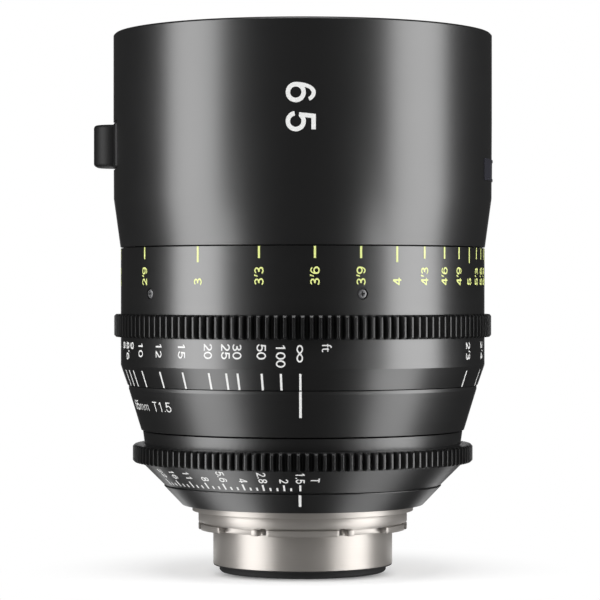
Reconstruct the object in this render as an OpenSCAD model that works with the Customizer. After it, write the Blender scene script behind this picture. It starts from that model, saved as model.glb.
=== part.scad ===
// Cinema prime lens with a barrel mount, modelled as it stands on its rear end.
// The origin is on the optical axis at the mount's seat face, +Z runs to the front
// and -Y is the side with the index marks. Azimuths run from -Y toward +X.

/* [Front barrel] */
// outside diameter of the front barrel
front_d = 114; // [110:0.5:120]
// length of the front barrel
front_l = 63.8; // [61:0.1:75]
// length of the cone at its rear end
front_cone_l = 14.4; // [6:0.1:20]
// length of the straight land that a clamp grips
clamp_land_l = 26; // [16:0.5:26]
// wall of the front barrel
front_wall = 2.8; // [2.4:0.1:3.4]
// wall around the filter thread
filter_wall = 1.4; // [1:0.1:2]
// depth of the filter thread
filter_l = 6; // [4:0.5:8]
// depth of the front cell's seat below the rim
seat_depth = 18; // [17:0.5:22]
// thickness of the web that joins the front barrel to the main barrel
web_t = 4; // [3:0.5:5]

/* [Support foot and badge] */
// how far the foot stands out of the front barrel
foot_out = 5.8; // [4:0.1:10]
// width of the foot around the barrel
foot_w = 19; // [14:0.5:24]
// height of the foot along the lens
foot_h = 12.5; // [10:0.1:16]
// height of the foot's middle below the rim
foot_below_rim = 33.6; // [33.6:0.1:38]
// width of the saddle under the foot
saddle_w = 28; // [26:0.5:34]
// bore of the foot's tapped hole
foot_tap_d = 5.1; // [4:0.1:6]
// depth of the foot's tapped hole
foot_tap_l = 5; // [3:0.5:6]
// width of the blank badge plate
badge_w = 40; // [24:1:44]
// height of the blank badge plate
badge_h = 6.4; // [4:0.1:10]
// height of the badge's middle below the rim
badge_below_rim = 41.1; // [36:0.1:44]
// how far the badge and the saddle stand proud of the barrel
trim_proud = 0.3; // [0.1:0.1:0.6]

/* [Focus ring] */
// outside diameter of the focus ring
focus_d = 109.6; // [106:0.1:112]
// length of the focus ring
focus_l = 40.9; // [38:0.1:48]
// length of the cone at its rear end
focus_cone_l = 6; // [3:0.1:10]
// how much the cone narrows the ring on each side
focus_cone_drop = 1.9; // [1:0.1:2.5]
// turn of the focus ring in degrees
focus_throw = 297; // [180:1:300]
// travel of the focus cell
focus_travel = 7; // [4:0.5:8]
// distance from the ring's rear face to the gear
focus_gear_up = 14.4; // [12:0.1:16]
// thickness of the scale ring
scale_ring_t = 1.7; // [1.4:0.1:2]
// wall of the focus ring under the scale ring
focus_wall = 2.3; // [2:0.1:3]
// number of screws in the scale ring
scale_screws = 5; // [3:1:8]

/* [Follow gears] */
// gear module
gear_module = 0.8; // [0.6:0.1:1]
// width of the focus gear
focus_gear_w = 6.8; // [5:0.1:8]
// width of the iris gear
iris_gear_w = 5.2; // [4:0.1:6]

/* [Barrel and focus cell] */
// wall of the cam sleeve
sleeve_t = 4.5; // [4:0.1:5]
// wall of the main barrel
barrel_t = 3.5; // [3:0.1:4]
// diameter of the cam follower
follower_d = 4; // [3:0.1:5]
// length of the focus cell
cell_l = 28; // [27:0.5:30]
// wall of the focus cell around its larger lens
focus_cell_wall = 7.5; // [6:0.1:12]
// how much smaller the cell's rear lens is on each side
focus_rear_in = 2; // [1:0.1:4]

/* [Index body] */
// length of the index body
body_l = 13.2; // [12:0.1:20]
// wall of the index body outside its pocket
body_wall = 2; // [1.5:0.1:2.2]

/* [Iris ring and index ring] */
// how much smaller the iris ring is on each side than the focus ring
iris_in = 6.65; // [5:0.05:8]
// length of the iris ring
iris_l = 16.1; // [15.5:0.1:20]
// length of the iris ring's cone
iris_cone_l = 6.8; // [6:0.1:7.4]
// how much the cone narrows the ring on each side
iris_cone_drop = 6.15; // [4:0.05:7]
// wall of the iris ring
iris_wall = 9.55; // [9:0.05:10]
// wall of the barrel inside the iris ring
journal_t = 3; // [2.5:0.1:3.5]
// turn of the iris ring in degrees
iris_throw = 68; // [50:1:76]
// diameter of the open aperture
aperture_d = 34.6; // [28:0.2:36]
// widest marked stop
widest_stop = 1.5; // [1.3:0.1:2]
// smallest marked stop
smallest_stop = 22; // [16:1:22]
// length of the index ring
index_l = 5.8; // [5:0.1:8]
// wall of the index ring at its small end
index_wall = 2.55; // [2:0.05:4]

/* [Lenses] */
// how far the front lens's edge lies inside the front barrel's outside
front_glass_in = 12.6; // [11.5:0.1:16]
// how much smaller the second lens is on each side than the front lens
second_glass_in = 4.4; // [2:0.1:8]
// wall of the rear cell around its larger lens
rear_cell_wall = 2.55; // [2:0.05:4]
// how much smaller the last lens is on each side than the one ahead of it
last_glass_in = 1.5; // [0.5:0.1:3]
// curve of the front lens's face
front_curve = 110; // [80:1:200]
// curve of the second lens's front
second_front_curve = 62; // [56:1:120]
// hollow of the second lens's rear
second_rear_curve = 90; // [70:1:200]
// curve of the focus group's front lens
focus_front_curve = 66; // [56:1:150]
// hollow of the focus group's rear lens
focus_rear_curve = 180; // [120:1:300]
// curve of the lens behind the iris
rear_front_curve = 40; // [36:1:80]
// curve of the last lens
last_curve = 60; // [50:1:120]

/* [Mount] */
// diameter of the mount's barrel
pl_d = 54; // [50:0.1:58]
// length of the mount's barrel below its seat
pl_l = 10.4; // [9:0.1:14]
// wall of the mount's barrel
pl_wall = 2; // [1.6:0.1:2.2]
// how far the mount's flange stands out from its barrel
flange_w = 4.45; // [4.2:0.05:5.2]
// thickness of the mount's tabs
tab_t = 1.8; // [1.4:0.1:2.2]
// height of the mount above its seat
mount_h = 5.5; // [5.2:0.1:7]
// thickness of the mount's shim
shim_t = 0.2; // [0.1:0.05:0.5]
// height of the black ring behind the mount's barrel
baffle_h = 2.4; // [1.5:0.1:4]

/* [Fits] */
// radial clearance of a ring or pin that moves
run_gap = 0.1; // [0.05:0.01:0.15]
// radial clearance between fixed pieces
fit_gap = 0.05; // [0.02:0.01:0.08]
// gap between the end faces of a ring that turns and a fixed one
face_gap = 0.3; // [0.25:0.05:0.5]
// width of the seam ahead of the focus ring
seam = 0.5; // [0.4:0.05:0.8]

/* [Hidden] */
$fn = 96;
black = [0.07, 0.07, 0.08];
dark = [0.16, 0.16, 0.17];
steel = [0.74, 0.73, 0.71];
brass = [0.76, 0.62, 0.32];
clear = [0.62, 0.74, 0.82, 0.5];
big = 300;
over = 1;
edge = 0.5;

// heights along the axis, from the seat face up
z_lip = mount_h + shim_t;
lip_l = 1.7;
z_index = z_lip + lip_l;
z_journal = z_index + index_l;
z_iris = z_journal + face_gap;
z_body = z_iris + iris_l + face_gap;
z_shoulder = z_body + body_l;
z_focus = z_shoulder + face_gap;
z_front = z_focus + focus_l + seam;
z_rim = z_front + front_l;
z_lock = z_front + web_t;
z_foot = z_rim - foot_below_rim;
z_badge = z_rim - badge_below_rim;

// radii of the mount
pl_r = pl_d / 2;
pl_bore_r = pl_r - pl_wall;
pl_spigot_in = 0.7;
pl_spigot_r = pl_r - pl_spigot_in;
flange_r = pl_r + flange_w;
lip_over = 1.8;
lip_r = flange_r + lip_over;

// radii of the front barrel
front_r = front_d / 2;
front_bore_r = front_r - front_wall;
filter_r = front_r - filter_wall;
land_relief = 0.1;
z_land = z_rim - clamp_land_l;
z_cone_end = z_front + front_cone_l;
saddle_sunk = 1.6;
saddle_floor_r = front_r - saddle_sunk;
badge_sunk = 0.5;
badge_floor_r = front_r - badge_sunk;
thread_chamfer = 0.4;

// radii of the focus ring and what turns in it
focus_r = focus_d / 2;
front_over = 0.2;
front_rear_r = focus_r + front_over;
focus_seat_r = focus_r - scale_ring_t;
focus_bore_r = focus_seat_r - focus_wall;
sleeve_r = focus_bore_r - fit_gap;
sleeve_bore_r = sleeve_r - sleeve_t;
barrel_r = sleeve_bore_r - run_gap;
barrel_bore_r = barrel_r - barrel_t;
cell_r = barrel_bore_r - run_gap;
spigot_in = 1.5;
spigot_r = barrel_r - spigot_in;
lock_l = 3;
lock_w = 4.4;
spigot_l = web_t + lock_l;
shoulder_t = 3;

// gears
addendum = gear_module;
dedendum = 1.25 * gear_module;
pressure = 20;
focus_gear_step = 0.2;
iris_gear_step = 1.25;
z_focus_gear = z_focus + focus_gear_up;
z_iris_gear = z_iris + iris_cone_l;
z_scale = z_focus_gear + focus_gear_w;

// screws and pins
scale_screw_r = 0.75;
scale_head_r = 1.5;
scale_head_t = 1.15;
scale_head_sunk = 0.1;
scale_screw_l = 3.4;
scale_screw_az = 18;
scale_screw_up = 6.1;
z_scale_screw = z_scale + scale_screw_up;
dowel_r = 1.2;
dowel_l = 4.5;
dowel_count = 3;
dowel_below = 6;
z_dowel = z_focus + focus_l - dowel_below;
stop_pin_r = 1;
stop_pin_out = 1.7;
stop_pin_in = 4;
stop_in = 1.5;
stop_r = sleeve_r - stop_in;
stop_groove_over = 0.3;
stop_groove_d = stop_pin_out + stop_groove_over;
stop_slack = 0.2;

// cam follower and guide keys
follower_r = follower_d / 2;
follower_in = 3.4;
slot_gap = 0.15;
follower_up = 11.6;
z_follower = z_focus + follower_up;
cam_steps = 32;
cam_over = asin((follower_r + slot_gap + stop_slack) / sleeve_bore_r);
key_w = 4;
key_l = 8;
key_in = 1.8;
key_short = 0.4;
key_out = barrel_t - key_short;
cell_below = 6;
z_cell = z_follower - cell_below;

// focus group
focus_glass_r = cell_r - focus_cell_wall - fit_gap;
focus_rear_glass_r = focus_glass_r - focus_rear_in;
focus_rim_t = 4;
focus_ledge_up = 11;
z_focus_ledge = z_cell + focus_ledge_up;
focus_ledge_t = 2;
focus_clear_in = 2;
focus_ledge_r = focus_rear_glass_r - focus_clear_in;

// iris
iris_r = focus_r - iris_in;
iris_cone_r = iris_r - iris_cone_drop;
iris_cone_step = 0.45;
iris_bore_r = iris_r - iris_wall;
journal_r = iris_bore_r - run_gap;
journal_bore_r = journal_r - journal_t;
blade_count = 9;
blade_t = 0.15;
blade_pitch = 0.25;
aperture_r = aperture_d / 2;
pivot_in = 6;
pivot_r = journal_bore_r - pivot_in;
blade_clear = 3.5;
blade_w = pivot_r - aperture_r - blade_clear;
blade_sweep = 118;
lever = 8;
pivot_pin_r = 0.7;
drive_pin_r = 0.6;
smallest_r = aperture_r * widest_stop / smallest_stop;
blade_swing = 2 * asin((aperture_r - smallest_r) / (2 * pivot_r));
lever_start = 90 - blade_swing / 2;
base_t = 2;
rim_t = 1.25;
rear_seat_up = 6.9;
z_rear_seat = z_lip + rear_seat_up;
rear_flange_t = 4;
z_base = z_rear_seat + rear_flange_t;
z_blades = z_base + base_t + face_gap;
blade_stack = blade_pitch * (blade_count - 1) + blade_t;
blade_room = 0.45;
z_cam_ring = z_blades + blade_stack + blade_room;
cam_ring_t = 2.8;
cam_slot_steps = 14;
cam_slot_over = 0.03;
drive_r = 1.5;
drive_az = 33;
drive_over = asin((drive_r + 2 * slot_gap) / journal_bore_r);
z_drive = z_cam_ring + cam_ring_t / 2;
iris_cap_t = 1.8;

// index body
body_front_in = 0.5;
body_front_r = focus_r - focus_cone_drop - body_front_in;
body_rear_over = 0.65;
body_rear_r = iris_r + body_rear_over;
body_screw_az = [30, 120, 210, 300];
body_screw_out = 2.7;
body_screw_r = journal_r + body_screw_out;
body_head_r = 1.9;
body_head_t = 2;
body_shank_r = 1;
body_web_t = 3;
body_screw_in = 2.4;
pocket_web_t = 4.2;

// index ring
index_front_in = 0.3;
index_front_r = iris_cone_r - index_front_in;
index_seat_over = 0.75;
index_seat_r = lip_r + index_seat_over;
index_cone_r = index_seat_r + fit_gap + index_wall;
index_screw_az = [110, 180, 250];
index_screw_r = 1;
index_screw_in = 1;
index_screw_l = 4.2;
z_index_screw = z_index + 0.55 * index_l;

// front cell and its lenses
front_glass_r = front_r - front_glass_in;
second_glass_r = front_glass_r - second_glass_in;
cell_wall = 3.1;
front_cell_r = front_glass_r + fit_gap + cell_wall;
ledge_over = 0.4;
ledge_r = front_cell_r + ledge_over;
ledge_t = 3;
flange_t = 3;
z_seat = z_rim - seat_depth;
front_rim_t = 5;
front_glass_below = 5.4;
z_front_glass = z_seat - front_glass_below;
second_rim_t = 4;
second_glass_below = 30;
z_second_glass = z_seat - second_glass_below;
cell_lip_t = 3.6;
cell_lip_w = 2.6;
retain_w = 1.8;
spacer_t = 1.8;
front_screw_count = 6;
front_screw_r = (ledge_r + front_bore_r) / 2;
front_head_r = 1.8;
front_head_t = 1.6;
front_shank_r = 1;
front_screw_in = 2.4;
trim_steps = 6;
trim_low = 1;
trim_step_h = (seat_depth - filter_l - flange_t - trim_low) / trim_steps;
trim_in_over = 0.4;
trim_in_r = front_glass_r - retain_w + trim_in_over;
trim_out_in = 1.2;
trim_out_r = front_bore_r - trim_out_in;
trim_step_w = (trim_out_r - trim_in_r) / trim_steps;

// rear cell and its lenses
rear_cell_in = 0.4;
rear_cell_r = pl_bore_r - rear_cell_in;
rear_flange_w = 2.45;
rear_flange_r = rear_cell_r + rear_flange_w;
rear_glass_r = rear_cell_r - rear_cell_wall;
last_glass_r = rear_glass_r - last_glass_in;
rear_lip_w = 3.5;
rear_lip_r = rear_glass_r - rear_lip_w;
rear_glass_below = 2.7;
z_rear_glass = z_lip - rear_glass_below;
rear_lip_t = 2;
rear_rim_t = 4;
rear_end_up = 3.4;
baffle_over = 0.1;
baffle_r = pl_bore_r + baffle_over;
baffle_open_in = 2.5;
baffle_open_r = last_glass_r - baffle_open_in;

// mount
neck_in = 2.85;
neck_r = flange_r - neck_in;
neck_t = 0.6;
tab_gap = 12.6;
tab_gap_az = 40.3;
tab_gap_azs = [for (half = [0, 180], side = [-1, 1]) half + side * tab_gap_az];
tab_floor_over = 0.9;
tab_floor = pl_r + tab_floor_over;
notch_near_az = 22.4;
notch_far_az = 78;
notch_azs = [for (half = [0, 180], side = [-1, 1], az = [notch_near_az, notch_far_az]) half + side * az];
notch_r = 1.6;
mount_screw_out = 2.3;
mount_screw_r = pl_r + mount_screw_out;
mount_head_r = 1.35;
mount_head_t = 1.2;
mount_shank_r = 0.8;
mount_screw_in = 5;

function unit(v) = v / norm(v);
function relieved_r(z) = front_r - land_relief * (z_land - z) / (z_land - z_cone_end);
function turn(p, a) = [p[0] * cos(a) - p[1] * sin(a), p[0] * sin(a) + p[1] * cos(a)];

module at(az) {
    rotate([0, 0, az - 90]) children();
}

module turned(points) {
    rotate_extrude() polygon(points);
}

module ring(r_out, r_in, z, h) {
    turned([[r_in, z], [r_out, z], [r_out, z + h], [r_in, z + h]]);
}

module sector(r_out, r_in, z, h, from, sweep) {
    at(from) rotate_extrude(angle = sweep)
        polygon([[r_in, z], [r_out, z], [r_out, z + h], [r_in, z + h]]);
}

module radial(az, z, r, from, to) {
    at(az) translate([from, 0, z]) rotate([0, 90, 0]) cylinder(r = r, h = to - from);
}

module axial(az, at_r, r, z, h) {
    at(az) translate([at_r, 0, z]) cylinder(r = r, h = h);
}

module patch(az, r_out, r_in, w, z_mid, h) {
    intersection() {
        ring(r_out, r_in, z_mid - h / 2, h);
        at(az) translate([0, -w / 2, z_mid - h]) cube([big, w, 2 * h]);
    }
}

// a plate that stands proud of the front barrel by the same amount all over
module plate(az, floor_r, w, z_mid, h) {
    low = z_mid - h / 2;
    high = z_mid + h / 2;
    intersection() {
        turned([
            [floor_r, low], [relieved_r(low) + trim_proud, low],
            [relieved_r(high) + trim_proud, high], [floor_r, high]
        ]);
        at(az) translate([0, -w / 2, z_mid - h]) cube([big, w, 2 * h]);
    }
}

module dome(r, curve) {
    intersection() {
        translate([0, 0, -sqrt(curve * curve - r * r)]) sphere(r = curve, $fn = 240);
        cylinder(r = curve, h = curve);
    }
}

module dish(r, curve) {
    translate([0, 0, sqrt(curve * curve - r * r)]) sphere(r = curve, $fn = 240);
}

// a lens with a flat rim, where a positive curve bulges and a negative one is hollow
module lens(r, clear_r, z, t, front_curve, rear_curve) {
    color(clear) difference() {
        union() {
            translate([0, 0, z]) cylinder(r = r, h = t);
            if (front_curve > 0) translate([0, 0, z + t]) dome(clear_r, front_curve);
            if (rear_curve > 0) translate([0, 0, z]) mirror([0, 0, 1]) dome(clear_r, rear_curve);
        }
        if (front_curve < 0) translate([0, 0, z + t]) dish(clear_r, -front_curve);
        if (rear_curve < 0) translate([0, 0, z]) mirror([0, 0, 1]) dish(clear_r, -rear_curve);
    }
}

function gear_pitch_r(seat_r, step) = seat_r + step + dedendum;
function gear_teeth(pitch_r) = round(2 * pitch_r / gear_module);

module gear(bore_r, pitch_r, z, w) {
    teeth = gear_teeth(pitch_r);
    step = 360 / teeth;
    half = PI * gear_module / 4;
    tip_half = (half - addendum * tan(pressure)) / (PI * gear_module) * step;
    root_half = (half + dedendum * tan(pressure)) / (PI * gear_module) * step;
    tip_r = pitch_r + addendum;
    root_r = pitch_r - dedendum;
    translate([0, 0, z]) difference() {
        linear_extrude(w) polygon([
            for (i = [0 : teeth - 1], q = [[root_r, -root_half], [tip_r, -tip_half],
                                           [tip_r, tip_half], [root_r, root_half]])
                turn([q[0], 0], i * step + q[1])
        ]);
        translate([0, 0, -over]) cylinder(r = bore_r, h = w + 2 * over);
    }
}

// front barrel

module front_barrel() {
    color(black) difference() {
        turned([
            [spigot_r + fit_gap, z_front], [front_rear_r - edge, z_front],
            [front_rear_r, z_front + edge], [front_r - land_relief, z_cone_end],
            [front_r, z_land], [front_r, z_rim - edge], [front_r - edge, z_rim],
            [filter_r + thread_chamfer, z_rim], [filter_r, z_rim - thread_chamfer],
            [filter_r, z_rim - filter_l], [front_bore_r, z_rim - filter_l],
            [front_bore_r, z_seat], [ledge_r, z_seat], [ledge_r, z_seat - ledge_t],
            [front_bore_r, z_seat - ledge_t], [front_bore_r, z_cone_end],
            [front_rear_r - front_wall, z_lock], [spigot_r + fit_gap, z_lock]
        ]);
        patch(-90, front_r + over, saddle_floor_r - fit_gap, saddle_w + 2 * fit_gap,
            z_foot, foot_h + 2 * saddle_lip + 2 * fit_gap);
        patch(90, front_r + over, badge_floor_r - fit_gap, badge_w + 2 * fit_gap,
            z_badge, badge_h + 2 * fit_gap);
        for (side = [-1, 1]) foot_bore(side, foot_shank_r + fit_gap, front_bore_r - over, front_r);
        for (i = [0 : front_screw_count - 1])
            axial(i * 360 / front_screw_count, front_screw_r, front_shank_r + fit_gap,
                z_seat - front_screw_in, front_screw_in + over);
    }
}

saddle_lip = 0.45;
foot_shank_r = 1.3;
foot_head_r = 2.2;
foot_head_t = 1.5;
foot_screw_in = 4;
foot_screw_y = foot_w / 2 - foot_screw_in;
foot_corner = 3.5;
foot_round = 1;
foot_face_x = front_r + foot_out;
foot_head_x = sqrt(pow(front_bore_r, 2) - pow(foot_screw_y + foot_head_r, 2)) - fit_gap;

module foot_bore(side, r, from, to) {
    at(-90) translate([from, side * foot_screw_y, z_foot]) rotate([0, 90, 0])
        cylinder(r = r, h = to - from);
}

module rounded_end(x0, x1, w, r) {
    translate([x0, -w / 2]) square([x1 - x0 - r, w]);
    translate([x0, -w / 2 + r]) square([x1 - x0, w - 2 * r]);
    for (side = [-1, 1]) translate([x1 - r, side * (w / 2 - r)]) circle(r = r);
}

module support_foot() {
    foot_in_x = saddle_floor_r - 2;
    color(black) difference() {
        union() {
            plate(-90, saddle_floor_r, saddle_w, z_foot, foot_h + 2 * saddle_lip);
            at(-90) difference() {
                intersection() {
                    translate([0, 0, z_foot - foot_h / 2]) linear_extrude(foot_h)
                        rounded_end(foot_in_x, foot_face_x, foot_w, foot_corner);
                    translate([0, foot_w, z_foot]) rotate([90, 0, 0]) linear_extrude(2 * foot_w)
                        rounded_end(foot_in_x, foot_face_x, foot_h, foot_round);
                }
                translate([0, 0, z_foot - foot_h]) cylinder(r = saddle_floor_r, h = 2 * foot_h);
            }
        }
        radial(-90, z_foot, foot_tap_d / 2, foot_face_x - foot_tap_l, foot_face_x + over);
        for (side = [-1, 1])
            foot_bore(side, foot_shank_r + fit_gap, front_bore_r, foot_face_x - 2);
    }
}

module support_foot_screws() {
    color(steel) for (side = [-1, 1]) {
        foot_bore(side, foot_shank_r, foot_head_x - foot_head_t / 2, foot_face_x - 2.3);
        foot_bore(side, foot_head_r, foot_head_x - foot_head_t, foot_head_x);
    }
}

module badge_plate() {
    color(dark) plate(90, badge_floor_r, badge_w, z_badge, badge_h);
}

module front_trim_ring() {
    z = z_seat + flange_t;
    color(black) turned(concat(
        [[trim_in_r, z], [front_bore_r - fit_gap, z],
         [front_bore_r - fit_gap, z + trim_low + trim_steps * trim_step_h]],
        [for (i = [trim_steps : -1 : 1], q = [0, 1])
            [trim_in_r + (i - q) * trim_step_w, z + trim_low + i * trim_step_h]],
        [[trim_in_r, z + trim_low]]
    ));
}

module front_cell() {
    color(dark) difference() {
        turned([
            [second_glass_r - cell_lip_w, z_second_glass - cell_lip_t],
            [front_cell_r, z_second_glass - cell_lip_t], [front_cell_r, z_seat],
            [front_bore_r - fit_gap, z_seat], [front_bore_r - fit_gap, z_seat + flange_t],
            [front_glass_r + fit_gap, z_seat + flange_t], [front_glass_r + fit_gap, z_front_glass],
            [second_glass_r + fit_gap, z_front_glass],
            [second_glass_r + fit_gap, z_second_glass],
            [second_glass_r - cell_lip_w, z_second_glass]
        ]);
        for (i = [0 : front_screw_count - 1]) {
            axial(i * 360 / front_screw_count, front_screw_r, front_shank_r + fit_gap,
                z_seat - over, flange_t + 2 * over);
            axial(i * 360 / front_screw_count, front_screw_r, front_head_r + fit_gap,
                z_seat + flange_t - front_head_t, front_head_t + over);
        }
    }
}

module front_cell_screws() {
    color(steel) for (i = [0 : front_screw_count - 1]) {
        axial(i * 360 / front_screw_count, front_screw_r, front_shank_r,
            z_seat - front_screw_in, front_screw_in + flange_t);
        axial(i * 360 / front_screw_count, front_screw_r, front_head_r,
            z_seat + flange_t - front_head_t, front_head_t);
    }
}

module front_element() {
    lens(front_glass_r, front_glass_r - retain_w, z_front_glass, front_rim_t,
        front_curve, 0);
}

module front_cell_retainer() {
    z = z_front_glass + front_rim_t;
    color(black) ring(front_glass_r, front_glass_r - retain_w, z, z_seat + flange_t - z);
}

module second_element() {
    lens(second_glass_r, second_glass_r - cell_lip_w, z_second_glass, second_rim_t,
        second_front_curve, -second_rear_curve);
}

module front_spacer() {
    z = z_second_glass + second_rim_t;
    color(black) ring(second_glass_r, second_glass_r - spacer_t, z, z_front_glass - z);
}

// main barrel

module mount_bores(r, z, h) {
    for (az = notch_azs) axial(az, mount_screw_r, r, z, h);
}

module key_box(az, w, z, h, from, to) {
    at(az) translate([from, -w / 2, z]) cube([to - from, w, h]);
}

module main_barrel() {
    z_cell_bore = z_shoulder + shoulder_t;
    slot_h = follower_d + focus_travel + 2 * stop_slack;
    key_slot_h = key_l + focus_travel + 2 * stop_slack;
    color(dark) difference() {
        turned([
            [rear_cell_r + run_gap, z_lip], [lip_r, z_lip], [lip_r, z_index],
            [index_seat_r, z_index], [index_seat_r, z_journal], [journal_r, z_journal],
            [journal_r, z_shoulder], [barrel_r, z_shoulder], [barrel_r, z_front],
            [spigot_r, z_front], [spigot_r, z_front + spigot_l],
            [barrel_bore_r, z_front + spigot_l], [barrel_bore_r, z_cell_bore],
            [journal_bore_r, z_cell_bore], [journal_bore_r, z_base],
            [rear_flange_r + fit_gap, z_base], [rear_flange_r + fit_gap, z_rear_seat],
            [rear_cell_r + run_gap, z_rear_seat]
        ]);
        key_box(0, follower_d + 2 * slot_gap, z_follower - follower_r - stop_slack, slot_h,
            barrel_bore_r - over, barrel_r + over);
        for (az = [120, 240])
            key_box(az, key_w + 2 * slot_gap, z_follower - key_l / 2 - stop_slack, key_slot_h,
                barrel_bore_r - over, barrel_r + over);
        sector(journal_r + over, journal_bore_r - over, z_drive - drive_r - slot_gap,
            2 * (drive_r + slot_gap), drive_az - drive_over, iris_throw + 2 * drive_over);
        for (az = body_screw_az)
            axial(az, body_screw_r, body_shank_r + fit_gap, z_shoulder - over, body_screw_in + over);
        for (az = index_screw_az)
            radial(az, z_index_screw, index_screw_r + fit_gap,
                index_seat_r - index_screw_in, index_seat_r + over);
        mount_bores(mount_shank_r + fit_gap, z_lip - over, mount_screw_in + over);
    }
}

module barrel_lock_ring() {
    color(steel) difference() {
        ring(spigot_r + lock_w, spigot_r + fit_gap, z_lock, lock_l);
        for (az = [0, 180])
            key_box(az, 3, z_lock + lock_l / 2, lock_l, spigot_r + lock_w / 2, spigot_r + 2 * lock_w);
    }
}

module front_slip_ring() {
    color(brass) ring(sleeve_r - 0.3, barrel_r + 2 * fit_gap, z_front - seam + run_gap, seam - run_gap);
}

module rear_slip_ring() {
    color(brass) ring(stop_r - stop_pin_r - stop_slack - 2 * fit_gap, barrel_r + 2 * fit_gap,
        z_shoulder, face_gap - run_gap);
}

// focus ring

module scale_bores(r, from, to) {
    for (i = [0 : scale_screws - 1])
        radial(scale_screw_az + i * 360 / scale_screws, z_scale_screw, r, from, to);
}

module dowel_bores(r, from, to) {
    for (i = [0 : dowel_count - 1])
        radial(60 + i * 360 / dowel_count, z_dowel, r, from, to);
}

module focus_ring() {
    cone_r = focus_r - focus_cone_drop;
    z_top = z_focus + focus_l;
    color(black) difference() {
        turned([
            [focus_bore_r, z_focus], [cone_r - edge, z_focus], [cone_r, z_focus + edge],
            [focus_r, z_focus + focus_cone_l], [focus_r, z_focus_gear],
            [focus_seat_r, z_focus_gear], [focus_seat_r, z_top], [focus_bore_r, z_top]
        ]);
        scale_bores(scale_screw_r + fit_gap, focus_bore_r - over, focus_r);
        dowel_bores(dowel_r + fit_gap, focus_bore_r - over, focus_r);
    }
}

module focus_gear() {
    color(black) gear(focus_seat_r + fit_gap, gear_pitch_r(focus_r, focus_gear_step),
        z_focus_gear, focus_gear_w);
}

module focus_scale_ring() {
    z_top = z_focus + focus_l;
    color(black) difference() {
        turned([
            [focus_seat_r + fit_gap, z_scale], [focus_r, z_scale], [focus_r, z_top - edge],
            [focus_r - edge, z_top], [focus_seat_r + fit_gap, z_top]
        ]);
        scale_bores(scale_screw_r + fit_gap, focus_seat_r - over, focus_r + over);
        scale_bores(scale_head_r + run_gap, focus_r - scale_head_sunk - scale_head_t, focus_r + over);
    }
}

module scale_ring_screws() {
    head_r = focus_r - scale_head_sunk;
    color(dark) {
        scale_bores(scale_head_r, head_r - scale_head_t, head_r);
        scale_bores(scale_screw_r, head_r - scale_screw_l, head_r - scale_head_t / 2);
    }
}

// the follower's path in the sleeve, as the sleeve turns past it
function cam_point(r, t, dz) = concat(
    turn([r, 0], -90 - t * focus_throw), [z_follower + t * focus_travel + dz]);

module cam_slot() {
    w = follower_r + slot_gap;
    lap = cam_over / focus_throw;
    r_in = sleeve_bore_r - over;
    r_out = sleeve_r + over;
    points = [for (i = [0 : cam_steps], q = [[r_in, -w], [r_out, -w], [r_out, w], [r_in, w]])
        cam_point(q[0], -lap + (1 + 2 * lap) * i / cam_steps, q[1])];
    sides = [for (i = [0 : cam_steps - 1], j = [0 : 3])
        let (a = 4 * i + j, b = 4 * i + (j + 1) % 4)
        each [[b, a, b + 4], [b + 4, a, a + 4]]];
    last = 4 * cam_steps;
    ends = [[0, 1, 2], [0, 2, 3], [last + 2, last + 1, last], [last + 3, last + 2, last]];
    polyhedron(points, concat(sides, ends), convexity = 6);
}

module cam_sleeve() {
    color(brass) difference() {
        ring(sleeve_r, sleeve_bore_r, z_focus, focus_l);
        cam_slot();
        dowel_bores(dowel_r + fit_gap, focus_seat_r - dowel_l, focus_seat_r);
        axial(0, stop_r, stop_pin_r + fit_gap, z_focus - over, stop_pin_in + over);
    }
}

module cam_sleeve_dowels() {
    color(steel) dowel_bores(dowel_r, focus_seat_r - dowel_l, focus_seat_r - fit_gap);
}

module focus_stop_pin() {
    color(steel) axial(0, stop_r, stop_pin_r, z_focus - stop_pin_out, stop_pin_out + stop_pin_in);
}

// focus cell

module focus_cell() {
    z_top = z_cell + cell_l;
    color(dark) difference() {
        turned([
            [focus_rear_glass_r + fit_gap, z_cell], [cell_r, z_cell], [cell_r, z_top],
            [focus_glass_r + fit_gap, z_top],
            [focus_glass_r + fit_gap, z_focus_ledge + focus_ledge_t],
            [focus_ledge_r, z_focus_ledge + focus_ledge_t], [focus_ledge_r, z_focus_ledge],
            [focus_rear_glass_r + fit_gap, z_focus_ledge]
        ]);
        radial(0, z_follower, follower_r + fit_gap, cell_r - follower_in, cell_r + over);
        for (az = [120, 240])
            key_box(az, key_w + 2 * fit_gap, z_follower - key_l / 2 - fit_gap, key_l + 2 * fit_gap,
                cell_r - key_in, cell_r + over);
    }
}

module cam_follower() {
    color(brass) radial(0, z_follower, follower_r, cell_r - follower_in, sleeve_r - 2 * stop_slack);
}

module guide_keys() {
    color(brass) for (az = [120, 240])
        key_box(az, key_w, z_follower - key_l / 2, key_l, cell_r - key_in, cell_r + key_out);
}

module focus_element_front() {
    lens(focus_glass_r, focus_glass_r - focus_clear_in, z_focus_ledge + focus_ledge_t,
        focus_rim_t, focus_front_curve, 0);
}

module focus_front_retainer() {
    z = z_focus_ledge + focus_ledge_t + focus_rim_t;
    color(black) ring(focus_glass_r, focus_glass_r - focus_clear_in, z, z_cell + cell_l - z);
}

module focus_element_rear() {
    lens(focus_rear_glass_r, focus_rear_glass_r - focus_clear_in, z_focus_ledge - focus_rim_t - 1,
        focus_rim_t + 1, 0, -focus_rear_curve);
}

module focus_rear_retainer() {
    color(black) ring(focus_rear_glass_r, focus_rear_glass_r - focus_clear_in, z_cell,
        z_focus_ledge - focus_rim_t - 1 - z_cell);
}

// index body

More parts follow.
